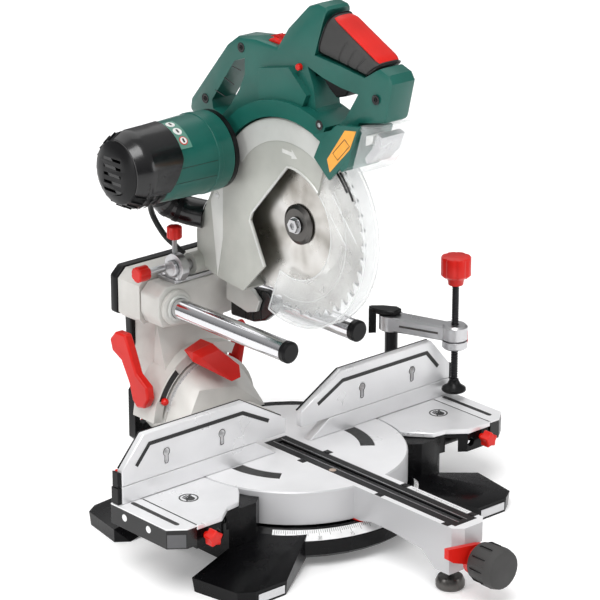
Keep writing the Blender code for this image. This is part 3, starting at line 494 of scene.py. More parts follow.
def loft(rings, capped=True, closed=False):
    """Join closed rings of points into one skin; a closed one also joins its last ring to its first."""
    bm = bmesh.new()
    made = [[bm.verts.new(point) for point in ring] for ring in rings]
    pairs = list(zip(made, made[1:]))
    if closed:
        pairs.append((made[-1], made[0]))
    count = len(made[0])
    for first, second in pairs:
        for i in range(count):
            j = (i + 1) % count
            bm.faces.new((first[i], first[j], second[j], second[i]))
    if capped:
        bm.faces.new(made[0])
        bm.faces.new(made[-1])
    return bm


def prism(plane, outline, low, high):
    return loft([[lift(plane, a, b, depth) for a, b in outline] for depth in (low, high)])


def box(x0, x1, y0, y1, z0, z1):
    return prism("XY", [(x0, y0), (x1, y0), (x1, y1), (x0, y1)], z0, z1)


def hull(points):
    bm = bmesh.new()
    for point in points:
        bm.verts.new(point)
    bmesh.ops.convex_hull(bm, input=bm.verts)
    loose = [v for v in bm.verts if not v.link_faces]
    bmesh.ops.delete(bm, geom=loose, context="VERTS")
    bmesh.ops.dissolve_limit(bm, angle_limit=0.01, verts=bm.verts, edges=bm.edges)
    return bm


def spoke(centre, radius, degrees):
    """A point round a centre, in degrees anticlockwise."""
    angle = math.radians(degrees)
    return centre[0] + radius * math.cos(angle), centre[1] + radius * math.sin(angle)


def spread(start, end, steps):
    """Evenly spaced values from start to end."""
    return [start + (end - start) * i / steps for i in range(steps + 1)]


def arc(centre, radius, start, end, steps):
    return [spoke(centre, radius, degrees) for degrees in spread(start, end, steps)]


def sector(centre, inner, outer, start, end, steps):
    return arc(centre, outer, start, end, steps) + arc(centre, inner, end, start, steps)


def around(axis, place, radius, angle, height):
    """A point at a radius, angle and height round an axis through place."""
    x, y, z = place
    a, b = radius * math.cos(angle), radius * math.sin(angle)
    if axis == "X":
        return x + height, y + a, z + b
    if axis == "Y":
        return x + a, y + height, z + b
    return x + a, y + b, z + height


def turned(axis, place, profile, segments=24):
    """Turn (radius, height) points about an axis through place.

    A profile whose ends have radius 0 is open there; any other profile is a closed loop.
    """
    bm = bmesh.new()
    rings = []
    for radius, height in profile:
        angles = [2 * math.pi * i / segments for i in range(segments if radius else 1)]
        rings.append([bm.verts.new(around(axis, place, radius, angle, height)) for angle in angles])
    pairs = list(zip(rings, rings[1:]))
    if profile[0][0] > 0:
        pairs.append((rings[-1], rings[0]))
    for first, second in pairs:
        for i in range(segments):
            j = (i + 1) % segments
            corners = [first[i % len(first)], first[j % len(first)]]
            corners += [second[j % len(second)], second[i % len(second)]]
            unique = list(dict.fromkeys(corners))
            if len(unique) > 2:
                bm.faces.new(unique)
    return bm


def rod(axis, place, radius, low, high, segments=24, chamfer=0.0):
    if chamfer:
        profile = [(0, low), (radius - chamfer, low), (radius, low + chamfer),
                   (radius, high - chamfer), (radius - chamfer, high), (0, high)]
    else:
        profile = [(0, low), (radius, low), (radius, high), (0, high)]
    return turned(axis, place, profile, segments)


def tube(axis, place, inner, outer, low, high, segments=24):
    return turned(axis, place, [(inner, low), (outer, low), (outer, high), (inner, high)], segments)


def sweep(points, outer, inner=0, sides=12):
    """A rod, or a tube where inner isn't 0, along a list of points."""
    points = [Vector(p) for p in points]
    angles = [2 * math.pi * k / sides for k in range(sides)]
    skins = []
    for radius in (outer, inner):
        normal = None
        rings = []
        for i, point in enumerate(points):
            ahead = points[min(i + 1, len(points) - 1)]
            tangent = (ahead - points[max(i - 1, 0)]).normalized()
            if normal is None:
                normal = tangent.orthogonal().normalized()
            normal = (normal - tangent * normal.dot(tangent)).normalized()
            side = tangent.cross(normal)
            rings.append([point + (normal * math.cos(a) + side * math.sin(a)) * radius for a in angles])
        skins.append(rings)
    if inner == 0:
        return loft(skins[0])
    return loft(skins[0] + skins[1][::-1], capped=False, closed=True)


def smooth_route(points, steps):
    """Catmull-Rom points through the given ones."""
    points = [Vector(p) for p in points]
    ends = [2 * points[0] - points[1]] + points + [2 * points[-1] - points[-2]]
    route = []
    for i in range(1, len(ends) - 2):
        p0, p1, p2, p3 = ends[i - 1:i + 3]
        for step in range(steps):
            t = step / steps
            route.append(0.5 * (2 * p1 + (p2 - p0) * t + (2 * p0 - 5 * p1 + 4 * p2 - p3) * t * t
                                + (3 * p1 - p0 - 3 * p2 + p3) * t ** 3))
    route.append(points[-1])
    return route


def fluted(axis, place, radius, low, high, flutes, depth, chamfer, segments=96):
    """A knob with rounded flutes down its side."""
    rings = []
    for height, inset in ((low, chamfer), (low + chamfer, 0), (high - chamfer, 0),
                          (high - chamfer * 0.35, chamfer * 0.4), (high, chamfer * 1.4)):
        ring = []
        for i in range(segments):
            angle = 2 * math.pi * i / segments
            r = radius - inset - depth * max(0.0, math.cos(flutes * angle)) ** 1.5
            ring.append(around(axis, place, r, angle, height))
        rings.append(ring)
    return loft(rings)


def threaded(axis, place, radius, low, high, pitch=1.6, depth=0.55, segments=24):
    """A rod whose surface follows a screw thread."""
    rings = []
    for height in spread(low, high, int((high - low) / (pitch / 4))):
        ring = []
        for i in range(segments):
            phase = (height / pitch - i / segments) % 1.0
            r = radius - depth * abs(2 * phase - 1)
            ring.append(around(axis, place, r, 2 * math.pi * i / segments, height))
        rings.append(ring)
    return loft(rings)


# --- saw head ---
def head_cable():
    route = [(-70, 118, 384), (-66, 150, 372), (-54, 188, 352), (-38, 206, 327), (-27, 199, 302),
             (-21, 185, 290), (-17, 175, 282)]
    bm = sweep(smooth_route(route, 8), 3.4, 0, 16)
    cable = add_piece("motor_cable", bm, None, "cable_rubber", stands_for=("head_cable",))
    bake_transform(cable)


TEETH = 40
BORE_R = 14.9
# Depth below the tooth tips, and the part of a tooth's pitch it lies at.
TOOTH_SHAPE = [(7.6, 0.0), (8.4, 0.14), (7.0, 0.36), (3.0, 0.60), (1.0, 0.80), (0.4, 0.99)]


def saw_blade():
    """Steel plate with gullets, and a carbide tip on each tooth."""
    step = 360 / TEETH
    edge, bore = [], []
    for tooth in range(TEETH):
        for depth, part in TOOTH_SHAPE:
            degrees = (tooth + part) * step
            edge.append(spoke(BLADE_YZ, BLADE_R - depth, degrees))
            bore.append(spoke(BLADE_YZ, BORE_R, degrees))
    loop = ((edge, -0.9), (bore, -0.9), (bore, 0.9), (edge, 0.9))
    bm = loft([[(x, *point) for point in line] for line, x in loop], capped=False, closed=True)
    add_piece("blade_plate", bm, "blade", "blade_steel", angle=25, stands_for=("saw_blade",))
    tips = []
    for tooth in range(TEETH):
        corners = [(0.0, -0.15), (0.3, -1.9), (5.2, -1.5), (5.4, 0.0)]
        outline = [spoke(BLADE_YZ, BLADE_R - depth, (tooth + 1) * step + back) for depth, back in corners]
        tips.append(prism("YZ", outline, -1.2, 1.2))
    add_piece("carbide_tips", tips, "blade", "carbide")


def guard_details():
    """Left face of the upper guard: light outer band, window lip, arrow, fold in the lighter grey as a painted
    highlight, and screw.
    """
    band = sector(BLADE_YZ, BAND_INNER, GUARD_R, 35.5, 119.5, 44)
    plate("guard_outer_band", band, GUARD_FACE - 0.7, GUARD_FACE - MARK_LOW, "guard_light", 0.35)
    lip = arc(BLADE_YZ, 70.6, 133, 88, 14) + [(51.7, 363), (55, 353), (34, 310), (30.5, 303.5)]
    route = [(GUARD_FACE - 0.3, y, z) for y, z in lip]
    add_piece("guard_window_lip", sweep(route, 1.5, 0, 8), "head", "guard_light")
    arrow = [(-1, 446.5), (-1, 451), (-17, 450), (-17, 453.4), (-26, 444.5), (-16.4, 442.4), (-16.8, 445.6)]
    plate("guard_arrow", arrow, GUARD_FACE - 0.35, GUARD_FACE - MARK_LOW, "guard_mark", 0.1)
    # the fold facet takes the lighter guard grey: a painted highlight where it turns to the light
    ridge = ((123, 361), (109.5, 336), (112, 271))
    corners = [(GUARD_FACE - height, y, z) for height in (1.3, 0.05) for y, z in ridge]
    corners += [(GUARD_FACE - 0.05, *point) for point in arc(BLADE_YZ, GUARD_R - 1.5, -19.5, 21, 12)]
    add_piece("guard_fold_highlight", hull(corners), "head", "guard_light", round_off=0.2)
    screw_head("guard_screw", GUARD_FACE, 113, 369, 4.2, "ink_black", "steel")


def screw_head(name, x, y, z, radius, well_finish, head_finish):
    """A screw in a shallow well on a left face of the head; a black well is painted shade in the screw's recess.
    """
    well = turned("X", (x, y, z), [(radius + 1.2, 0), (radius + 1.2, -0.5), (radius + 0.5, -0.9),
                                   (radius, -0.5), (0, -0.15), (0, 0)], 28)
    add_piece(name + "_well", well, "head", well_finish)
    r = radius * 0.62
    head = turned("X", (x, y, z), [(0, -0.1), (r, -0.2), (r, -0.8), (r * 0.8, -1.25), (r * 0.42, -1.35),
                                   (r * 0.36, -0.6), (0, -0.5)], 24)
    add_piece(name, head, "head", head_finish)


def handle_details():
    """Screws of the shells, and the cheek's plate with its plain label."""
    # black wells (ink_black) are painted shade in the screws' recesses
    screws = {
        "carry_screw_top": (-9, 78, 550, 4.6, "ink_black", "black_plastic"),
        "carry_screw_low": (-9, 142, 477, 4.6, "ink_black", "black_plastic"),
        "housing_screw": (-9, 48, 483, 4.4, "ink_black", "steel"),
        "housing_screw_rear": (-9, 99, 449, 3.6, "green_shell", "steel"),
        "cheek_screw": (-22, -68, 494, 4.4, "ink_black", "steel"),
        "handle_screw": (-11, -146, 537, 4.4, "ink_black", "black_plastic"),
    }
    for name, values in screws.items():
        screw_head(name, *values)
    cheek = [(-59, 455), (-71, 479), (-96, 500), (-133, 506), (-116, 466), (-84, 434)]
    plate("cheek_plate", cheek, -22.4, -18.4, "green_shell", 0.8)
    label = [(-110, 497), (-128, 500), (-118, 477), (-86, 444), (-81.5, 458)]
    plate("cheek_label", label, -22.75, -22.42, "label_orange", 0.1)
    frame_line = [(-110, 487), (-118, 481), (-99, 461), (-91, 467)]
    route = [(-22.8, y, z) for y, z in frame_line + frame_line[:1]]
    add_piece("cheek_label_line", sweep(route, 0.4, 0, 6), "head", "ink_black")


GRIP_TOP = ((-69, 616.5), (-148.5, 574.5))
GRIP_BOTTOM = ((-48, 567), (-127, 558))
GRIP_X = 9.0
GRIP_HALF = 19.6
GRIP_ROUNDNESS = 0.62
GROOVES = (0.42, 0.60, 0.78)


def grip_ring(t, start, end, grow, count):
    """Part of a rounded-box section of the main handle at t along its length."""
    top = Vector(GRIP_TOP[0]).lerp(Vector(GRIP_TOP[1]), t)
    bottom = Vector(GRIP_BOTTOM[0]).lerp(Vector(GRIP_BOTTOM[1]), t)
    middle = (top + bottom) / 2
    up = (top - bottom) / 2
    half = up.length
    up.normalize()
    points = []
    for i in range(count + 1):
        angle = math.radians(start + (end - start) * i / count)
        c, s = math.cos(angle), math.sin(angle)
        x = GRIP_X + (GRIP_HALF + grow) * math.copysign(abs(c) ** GRIP_ROUNDNESS, c)
        rise = (half + grow) * math.copysign(abs(s) ** GRIP_ROUNDNESS, s)
        points.append((x, middle.x + up.x * rise, middle.y + up.y * rise))
    return points


def grip_details():
    """Rounded rubber grip with three grooves, and the red bar along its top."""
    rings = []
    steps = 72
    for k in range(steps + 1):
        t = k / steps
        dent = sum(1.0 for place in GROOVES if abs(t - place) < 0.012)
        end_round = -1.6 * max(0.0, 1 - min(t, 1 - t) / 0.03)
        full = grip_ring(t, 0, 354, end_round, 59)
        sunk = grip_ring(t, 0, 354, end_round - dent, 59)
        rings.append([b if 150 < 6 * i < 250 else a for i, (a, b) in enumerate(zip(full, sunk))])
    add_piece("grip_rubber_sleeve", loft(rings), "head", "grip_rubber", stands_for=("handle_grip",))
    bar = []
    steps = 40
    for k in range(steps + 1):
        t = 0.06 + 0.90 * k / steps
        swell = math.sin(math.pi * min(1.0, min(k, steps - k) / 5 + 0.05) / 2)
        start, end = 40 - 4 * swell, 122 + 4 * swell
        bar.append(grip_ring(t, start, end, 0.2 + 2.2 * swell, 26) + grip_ring(t, start, end, -1.2, 26)[::-1])
    add_piece("grip_red_bar", loft(bar), "head", "red_plastic", round_off=0.5)
    ends = [sweep(grip_ring(t, 0, 354, 0.3, 59), 0.8, 0, 6) for t in (0.02, 0.985)]
    add_piece("grip_end_seams", ends, "head", "black_plastic")


def carry_handle_details():
    """Short seams and a silver lever on the carry handle, and ribs on the light switch."""
    ribs = []
    for start, end in (((93, 525), (79, 523)), ((108, 509), (91, 504)), ((124, 491), (107, 487))):
        ribs.append(sweep([(-9.1, *start), (-9.1, *end)], 0.5, 0, 6))
    add_piece("carry_handle_seams", ribs, "head", "ink_black")
    lever = [(66, 524), (70, 536), (76, 536), (73, 520), (86, 500), (82, 496), (70, 512)]
    plate("carry_lever", lever, 3, 6.5, "steel", 0.6)
    ribs = [box(0.5, 17.5, 20 + 4.2 * i - 0.7, 20 + 4.2 * i + 0.7, 569.2, 570.3) for i in range(5)]
    add_piece("light_switch_ribs", ribs, "light_switch", "red_plastic", round_off=0.2)


def motor_point(radius, degrees, x):
    return x, *spoke((MOTOR.y, MOTOR.z), radius, degrees)


def motor_details():
    """Seams and round symbols on the motor, and the lighter green strip under the symbols, a painted highlight on
    the motor's lit top.
    """
    for number, degrees in enumerate((176, 199)):
        route = [motor_point(46.2 - 2.3 * i / 12, degrees, -62 - 5.2 * i) for i in range(13)]
        add_piece("motor_seam_%d" % (number + 1), sweep(route, 0.35, 0, 6), "head", "ink_black")
    add_piece("symbol_highlight_strip", patch_on_motor(-93, -110, 94, 149, 45.3, 0.35), "head", "green_light")
    for number, (degrees, ring) in enumerate(((103, "ink_white"), (120, "ink_white"), (137, "ink_red"))):
        end = "_%d" % (number + 1)
        add_piece("symbol_ring" + end, disc_on_motor(-101.5, degrees, 5.4, 45.75), "head", ring)
        add_piece("symbol_face" + end, disc_on_motor(-101.5, degrees, 4.2, 46.0), "head", "ink_white")
        mark = patch_on_motor(-100.3, -102.7, degrees - 3.2, degrees + 3.2, 46.15, 0.2)
        add_piece("symbol_mark" + end, mark, "head", "ink_black")


def cap_radius(x):
    """Outer radius of the motor's end cap at a place along its axis."""
    stops = [(-109, 46.4), (-128.4, 45.6), (-156, 45.1), (-171, 37.2), (-175.6, 27.2)]
    for (x0, r0), (x1, r1) in zip(stops, stops[1:]):
        if x >= x1:
            return r0 + (r1 - r0) * (x - x0) / (x1 - x0)
    return stops[-1][1]


def cap_shoulder():
    """Glossy raised panel that wraps the front and top of the motor's end."""
    start, end, rows, full = 84, 208, 30, 162
    grid = []
    for degrees in spread(start, end, rows):
        right = -110.5 if degrees < full else -110.5 - 17 * (degrees - full) / (end - full)
        xs = spread(right, -171, 12)
        grid.append([motor_point(cap_radius(x) + 1.3, degrees, x) for x in xs]
                    + [motor_point(cap_radius(x) - 0.6, degrees, x) for x in xs[::-1]])
    add_piece("cap_shoulder", loft(grid), "head", "cap_gloss", round_off=0.5)


def cap_details():
    """Shoulder, raised plain strip, lower louvres and ribs of the cap, and the motor's step; the louvres are matt
    black patches, painted shade in the vents.
    """
    cap_shoulder()
    strip = box(-175.9, -174.2, MOTOR.y - 8, MOTOR.y + 8, MOTOR.z - 25, MOTOR.z + 25)
    tilt = (Matrix.Translation((0, MOTOR.y, MOTOR.z)) @ Matrix.Rotation(math.radians(-35), 4, "X")
            @ Matrix.Translation((0, -MOTOR.y, -MOTOR.z)))
    add_piece("cap_strip", placed(strip, tilt), "head", "cap_gloss", round_off=0.6)
    # black patches: painted shade in the vent openings
    louvres = []
    for row in range(3):
        x = -136 - 10 * row
        for column in range(4):
            start = 186 + 15 * column + 4 * (row % 2)
            louvres.append(patch_on_motor(x, x - 3.2, start, start + 11, cap_radius(x) - 0.5, 0.75, 6))
    add_piece("cap_louvre_shade", louvres, "head", "ink_black")
    ribs = []
    for degrees in range(20, 350, 15):
        if not 84 < degrees < 206:
            points = [motor_point(cap_radius(x) - 0.55, degrees, x) for x in (-157, -163, -169)]
            ribs.append(sweep(points, 0.9, 0, 6))
    add_piece("cap_ribs", ribs, "head", "black_plastic")
    rim = turned("X", (0, MOTOR.y, MOTOR.z), [(46.2, -60.5), (47.3, -60), (47.3, -54), (46.2, -53.5)], 64)
    add_piece("motor_step", rim, "head", "green_shell", round_off=0.3)


def patch_on_motor(x0, x1, start, end, radius, thick, steps=14):
    """A curved sheet that hugs the motor between two angles."""
    section = ((radius, x0), (radius, x1), (radius + thick, x1), (radius + thick, x0))
    return loft([[motor_point(r, degrees, x) for r, x in section] for degrees in spread(start, end, steps)])


def disc_on_motor(x, degrees, radius, height, steps=24):
    """A round sticker wrapped on the motor."""
    layers = []
    for level in (height, height + 0.2):
        ring = []
        for i in range(steps):
            angle = 2 * math.pi * i / steps
            turn = math.degrees(radius * math.sin(angle) / height)
            ring.append(motor_point(level, degrees + turn, x + radius * math.cos(angle)))
        layers.append(ring)
    return loft(layers)


def lower_guard_details():
    """Rolled rims, inner lines, folds and louvres on the clear lower guard; rims, lines and folds are whiter, more
    opaque plastic as a painted highlight, and the louvres are black as painted shade.
    """
    body = "lower_guard"
    for name, x in (("left", -11.2), ("right", 11.2)):
        rim = [(x, *p) for p in arc(BLADE_YZ, 118.2, 129, 291, 54)]
        add_piece("lower_guard_rim_" + name, sweep(rim, 0.9, 0, 8), body, "clear_edge")
    for number, (radius, start, end, width) in enumerate(((63.2, 131, 288, 0.55), (88, 140, 282, 0.4))):
        line = [(-11.2, *p) for p in arc(BLADE_YZ, radius, start, end, 48)]
        add_piece("lower_guard_line_%d" % (number + 1), sweep(line, width, 0, 8), body, "clear_edge")
    folds = []
    for degrees in (128.2, 291):
        ends = [(-11.1, *spoke(BLADE_YZ, radius, degrees)) for radius in (63.2, 118)]
        folds.append(sweep(ends, 0.7, 0, 8))
    for a, b in (((-77, 414), (-118, 366)), ((-22, 262), (4, 262)), ((-72, 392), (-100, 360))):
        folds.append(sweep([(-11.2, *a), (-11.2, *b)], 0.5, 0, 8))
    add_piece("lower_guard_folds", folds, body, "clear_edge")
    # black bars: painted shade in the louvre slots
    slots = []
    for radius, start, end in ((108, 131, 146), (112.5, 134, 152)):
        points = [(-11.3, *point) for point in arc(BLADE_YZ, radius, start, end, 10)]
        slots.append(sweep(points, 1.3, 0, 8))
    add_piece("lower_guard_louvre_shade", slots, body, "ink_black")
    hub = turned("X", (0, *BLADE_YZ), [(24.6, 11), (30, 11), (30, 13.2), (24.6, 13.2)], 48)
    add_piece("lower_guard_hub_ring", hub, body, "post_black", round_off=0.4)


def lamp_parts():
    """Silver reflector and white board inside the clear window."""
    shell = [(-150, 500), (-158, 497), (-150, 478), (-134, 462), (-130, 468), (-142, 482)]
    plate("lamp_reflector", shell, -12, 22, "steel", 0.6)
    board = [(-128, 492), (-140, 495), (-138, 486), (-127, 480)]
    plate("lamp_board", board, -8, 18, "ink_white", 0.6)


def dust_port():
    """Rubber elbow behind the guard with three rings."""
    route = [(-4, 150, 334), (-18, 172, 338), (-33, 184, 348), (-40, 187, 364), (-40, 184, 384)]
    route = smooth_route(route, 7)
    add_piece("dust_port", sweep(route, 17, 14.5, 36), "head", "cap_gloss", stands_for=("dust_elbow",))
    rings = [sweep(route[index - 1:index + 2], 17.7, 16.6, 36) for index in (9, 13, 17)]
    add_piece("dust_port_rings", rings, "head", "black_plastic", round_off=0.25)


# --- carriage and column ---
def rear_chute():
    """Cast bracket and black chip scoop on the carriage, behind the blade."""
    bracket = [(141.6, 252), (118, 255), (95, 249), (82, 239), (88, 224), (104, 219), (141.6, 226)]
    plate("chute_bracket", bracket, 19.5, 25, "guard_light", 1.0, "carriage")
    scoop = [(141.6, 238), (104, 249), (76, 252), (60, 237), (64, 226), (80, 213), (100, 206), (141.6, 204)]
    plate("chute_scoop", scoop, 25.4, 35.5, "cap_gloss", 3.0, "carriage")
    ribs = []
    for y, low, high in ((86, 213, 249), (100, 209, 248), (114, 208, 244)):
        ribs.append(box(24.8, 36.1, y - 1.2, y + 1.2, low, high))
    add_piece("chute_ribs", ribs, "carriage", "black_plastic", round_off=0.5)


def hex_bolt(x, y, z, radius, height):
    """A hexagon head with a stud on a washer, standing on a face that looks up."""
    parts = ((radius * 1.45, 0, 0.9, 28, 0.2), (radius, 0.9, height, 6, 0.4),
             (radius * 0.5, height, height + 1.6, 16, 0.3))
    return merge([rod("Z", (x, y, z), *part) for part in parts])


def pivot_details():
    """Bolts of the pivot bracket and the pivot pin's caps."""
    plate_top = reach("pivot_bracket")[0].z + 4.2
    bolts = [hex_bolt(x, y, plate_top, 4.6, 4.5) for x in (-45, 45) for y in (151, 175)]
    add_piece("bracket_bolts", bolts, "carriage", "steel")
    caps = []
    for (side, _), end in zip(SIDES, reach("pivot_pin")):
        profile = [(0, side * 0.2), (7.5, side * 0.2), (7.5, -side * 0.8), (6, -side * 2.2), (0, -side * 2.2)]
        caps.append(turned("X", (end.x + side * 0.1, CHOP.y, CHOP.z), profile, 6))
    add_piece("pivot_pin_caps", caps, "carriage", "steel", round_off=0.3)


def column_details():
    """Degree scale on the drum, window in the hood and pointer ball."""
    centre = (0, BEVEL_Z)
    scale = prism("XZ", sector(centre, 62.0, 69.3, 96, 166, 40), DRUM_FACE - 0.3, DRUM_FACE - MARK_LOW)
    add_piece("bevel_scale", scale, "turntable", "scale_white", round_off=0.08)
    ticks = []
    for degrees in range(-5, 61):
        length = 4.6 if degrees % 15 == 0 else 3.4 if degrees % 5 == 0 else 2.2
        at = 104 + degrees
        mark = sector(centre, 69.0 - length, 69.0, at - 0.11, at + 0.11, 1)
        ticks.append(prism("XZ", mark, DRUM_FACE - 0.45, DRUM_FACE - 0.28))
    add_piece("bevel_scale_ticks", ticks, "turntable", "ink_black")
    window = sector(centre, 74.6, 84.5, 128, 158, 16)
    add_piece("hood_window", prism("XZ", window, HOOD_FACE, HOOD_FACE + 0.37), "column", "ink_black",
              round_off=0.1)
    route = [(x, HOOD_FACE + 0.1, z) for x, z in window + window[:1]]
    add_piece("hood_window_frame", sweep(route, 0.7, 0, 8), "column", "casting_grey")
    ball = turned("Y", (-70.5, 148.6, 116.5), [(0, -4.6), (2.6, -4.0), (4.2, -2.0), (4.6, 0), (4.2, 2.0),
                                               (2.6, 3.4), (0, 3.6)], 24)
    add_piece("bevel_pointer", ball, "column", "red_plastic")


def rail_details():
    """Black end caps and light collars on both rails."""
    front, lip = RAIL_LOW.y, RAIL_R + 0.4
    cap = [(0, front - 0.5), (lip - 2.4, front - 0.5), (lip, front + 1.6), (lip, front + 8), (0, front + 8)]
    ring = [(RAIL_R + 0.25, 141.2), (RAIL_R + 2.6, 141.2), (RAIL_R + 4.2, 142.9), (RAIL_R + 0.25, 142.9)]
    for side, name in SIDES:
        place = (side * RAIL_X, 0, RAIL_Z)
        bm = turned("Y", place, cap, 48)
        add_piece("rail_cap_" + name, bm, "column", "black_plastic", round_off=0.25)
        bm = turned("Y", place, ring, 48)
        add_piece("rail_wiper_" + name, bm, "carriage", "guard_light", round_off=0.2)


def knob_details():
    """Fluted knobs with threaded stems in place of the plain CAD knobs."""
    low, high = reach("slide_lock_knob")
    middle = (low + high) / 2
    place = (0, middle.y, middle.z)
    add_piece("slide_lock_grip", fluted("X", place, 9.4, low.x, low.x + 17, 6, 0.9, 1.6), "slide_lock",
              "red_plastic", stands_for=("slide_lock_knob",))
    add_piece("slide_lock_stem", threaded("X", place, 4.1, low.x + 16.5, high.x), "slide_lock", "steel")
    low, high = reach("depth_stop_screw")
    middle = (low + high) / 2
    place = (middle.x, middle.y, 0)
    add_piece("depth_stop_grip", fluted("Z", place, 8.9, high.z - 15.5, high.z, 6, 0.9, 1.6), "depth_stop",
              "red_plastic", stands_for=("depth_stop_screw",))
    add_piece("depth_stop_stem", threaded("Z", place, 3.2, low.z, high.z - 15), "depth_stop", "steel")
    low, high = reach("mitre_knob")
    middle = (low.z + high.z) / 2
    stations = ((low.y + 9, 0.94), (low.y + 14, 1.0), (high.y - 12, 1.0), (high.y - 8, 0.93))
    ridges = []
    for i in range(10):
        angle = 2 * math.pi * i / 10
        a, b = 23.8 * math.cos(angle), 23.8 * math.sin(angle)
        ridges.append(sweep([(a * k, y, middle + b * k) for y, k in stations], 0.8, 0, 8))
    add_piece("mitre_knob_ridges", ridges, "mitre_knob", "black_plastic")


# --- fences, tables and clamp ---
def fence_details(side, name):
    """Dark strip that follows the fence's top edge, painted shade in its groove; trim along the top; and dark
    keyhole rims, painted shade on the holes' walls.
    """
    body = "fence_" + name
    line = [(232, 127), (213, 149), (77, 149), (38, 129)]
    # black ribbon: painted shade in the groove
    add_piece("fence_groove_shade_" + name, ribbon(line, 2.3, side, -0.35, -MARK_LOW), body, "ink_black")
    trim = [(251, 126.8), (220.6, 161.4), (75, 161.4), (12.6, 125.8)]
    bm = sweep([(side * x, 8.8, z) for x, z in trim], 1.3, 0, 8)
    add_piece("fence_trim_" + name, bm, body, "black_plastic")
    for number, x in enumerate((108, 189)):
        add_piece("keyhole_rim_%s_%d" % (name, number + 1), keyhole_rim(side * x), body, "black_plastic")


def end_blocks(side, name):
    """Black blocks on the fence's outer ends with a small red knob, and the extension's discs."""
    xs = sorted((side * 252.3, side * 257.8))
    low = prism("XZ", [(xs[0], 86.6), (xs[1], 86.6), (xs[1], 106.4), (xs[0], 106.4)], 1.0, 13.0)
    add_piece("fence_block_low_" + name, low, "base", "black_plastic", round_off=0.8)
    high = prism("XZ", [(xs[0], 107.4), (xs[1], 107.4), (xs[1], 124), (xs[0], 126)], 1.0, 11.0)
    add_piece("fence_block_high_" + name, high, "fence_" + name, "black_plastic", round_off=0.8)
    knob = fluted("Y", (side * 247, 0, 117), 5.6, 10.4, 17.5, 6, 0.7, 1.0, 48)
    add_piece("fence_knob_" + name, knob, "fence_" + name, "red_plastic")
    discs = []
    for y in (-10, -52):
        outer = sorted((side * 257.6, side * 258.12))
        discs.append(rod("X", (0, y, 75.5), 4.2, *outer, 28, 0.15))
    add_piece("extension_discs_" + name, discs, "extension_" + name, "table_metal")
    facet = hull([(side * x, y, z) for z in (63.5, 79) for x, y in
                  ((241.0, -96.45), (257.4, -83.7), (241.5, -95.9), (256.9, -83.3))])
    add_piece("extension_facet_" + name, facet, "extension_" + name, "grey_plastic", round_off=0.2)


def slot_liners():
    """Dark channels under the two curved slots of the turntable: painted shade inside the slots."""
    for name, start, end in (("left", 180.5, 219), ("right", -39, -0.5)):
        liner = sector((0, 0), 78.4, 94.6, start + 0.4, end - 0.4, 18)
        add_piece("slot_shade_liner_" + name, prism("XY", liner, TABLE_TOP - 5.0, TABLE_TOP - 0.5), "turntable",
                  "ink_black", round_off=0.2)


def ribbon(line, width, side, front, back):
    """A flat strip of one width along a polyline in the fence's plane."""
    points = [Vector((x, z)) for x, z in line]
    left, right = [], []
    for i, point in enumerate(points):
        before = (point - points[i - 1]).normalized() if i else None
        after = (points[i + 1] - point).normalized() if i + 1 < len(points) else None
        along = (before or after) + (after or before)
        along.normalize()
        normal = Vector((-along.y, along.x))
        stretch = 1.0
        if before is not None and after is not None:
            stretch = 1 / max(0.5, normal.dot(Vector((-after.y, after.x))))
        left.append(point + normal * width * stretch)
        right.append(point - normal * width * stretch)
    outline = [(side * p.x, p.y) for p in left + right[::-1]]
    return prism("XZ", outline, front, back)


# dark ring round a keyhole: painted shade on the hole's wall
def keyhole_rim(x):
    loop = arc((x, 132.5), 4.6, -60, 240, 18) + arc((x, 121.5), 2.6, 180, 360, 8)
    return sweep([(a, -0.1, b) for a, b in loop + loop[:1]], 0.35, 0, 6)


def table_details(side, name):
    """Generic hand mark, and the dark slot and seam beside it; the black slot is painted shade in the extension's
    slot.
    """
    x, y = (-185, -33) if side < 0 else (199, -36)
    low, high = TABLE_TOP + MARK_LOW, TABLE_TOP + MARK_HIGH
    ring = tube("Z", (x, y, 0), 9.6, 11.2, low, high, 40)
    add_piece("hand_mark_ring_" + name, ring, "base", "ink_black")
    bars = []
    for i, length in enumerate((5.5, 7.2, 7.4, 5.8)):
        middle = x - 4.5 + 3 * i
        bars.append(box(middle - 0.95, middle + 0.95, y - 1, y + length, low, high))
    bars.append(prism("XY", arc((x, y - 2.4), 5.6, 150, 390, 16), low, high))
    add_piece("hand_mark_" + name, bars, "base", "ink_black")
    slash = Matrix.Translation((x, y, 0)) @ Matrix.Rotation(math.radians(38), 4, "Z")
    bar = placed(box(-10.4, 10.4, -0.8, 0.8, high, high + 0.15), slash)
    add_piece("hand_mark_bar_" + name, bar, "base", "ink_black")
    # black slot outline: painted shade in the extension's slot
    x = side * 240.5
    slot = prism("XY", arc((x, -4), 2.9, 0, 180, 8) + arc((x, -80), 2.9, 180, 360, 8), low, TABLE_TOP + 0.2)
    add_piece("extension_slot_shade_" + name, slot, "extension_" + name, "ink_black")
    seam = sorted((side * (SEAM_X - 0.2), side * (SEAM_X - 1.6)))
    add_piece("table_seam_" + name, box(*seam, -95, -1.5, low, TABLE_TOP + 0.16), "base", "ink_black")


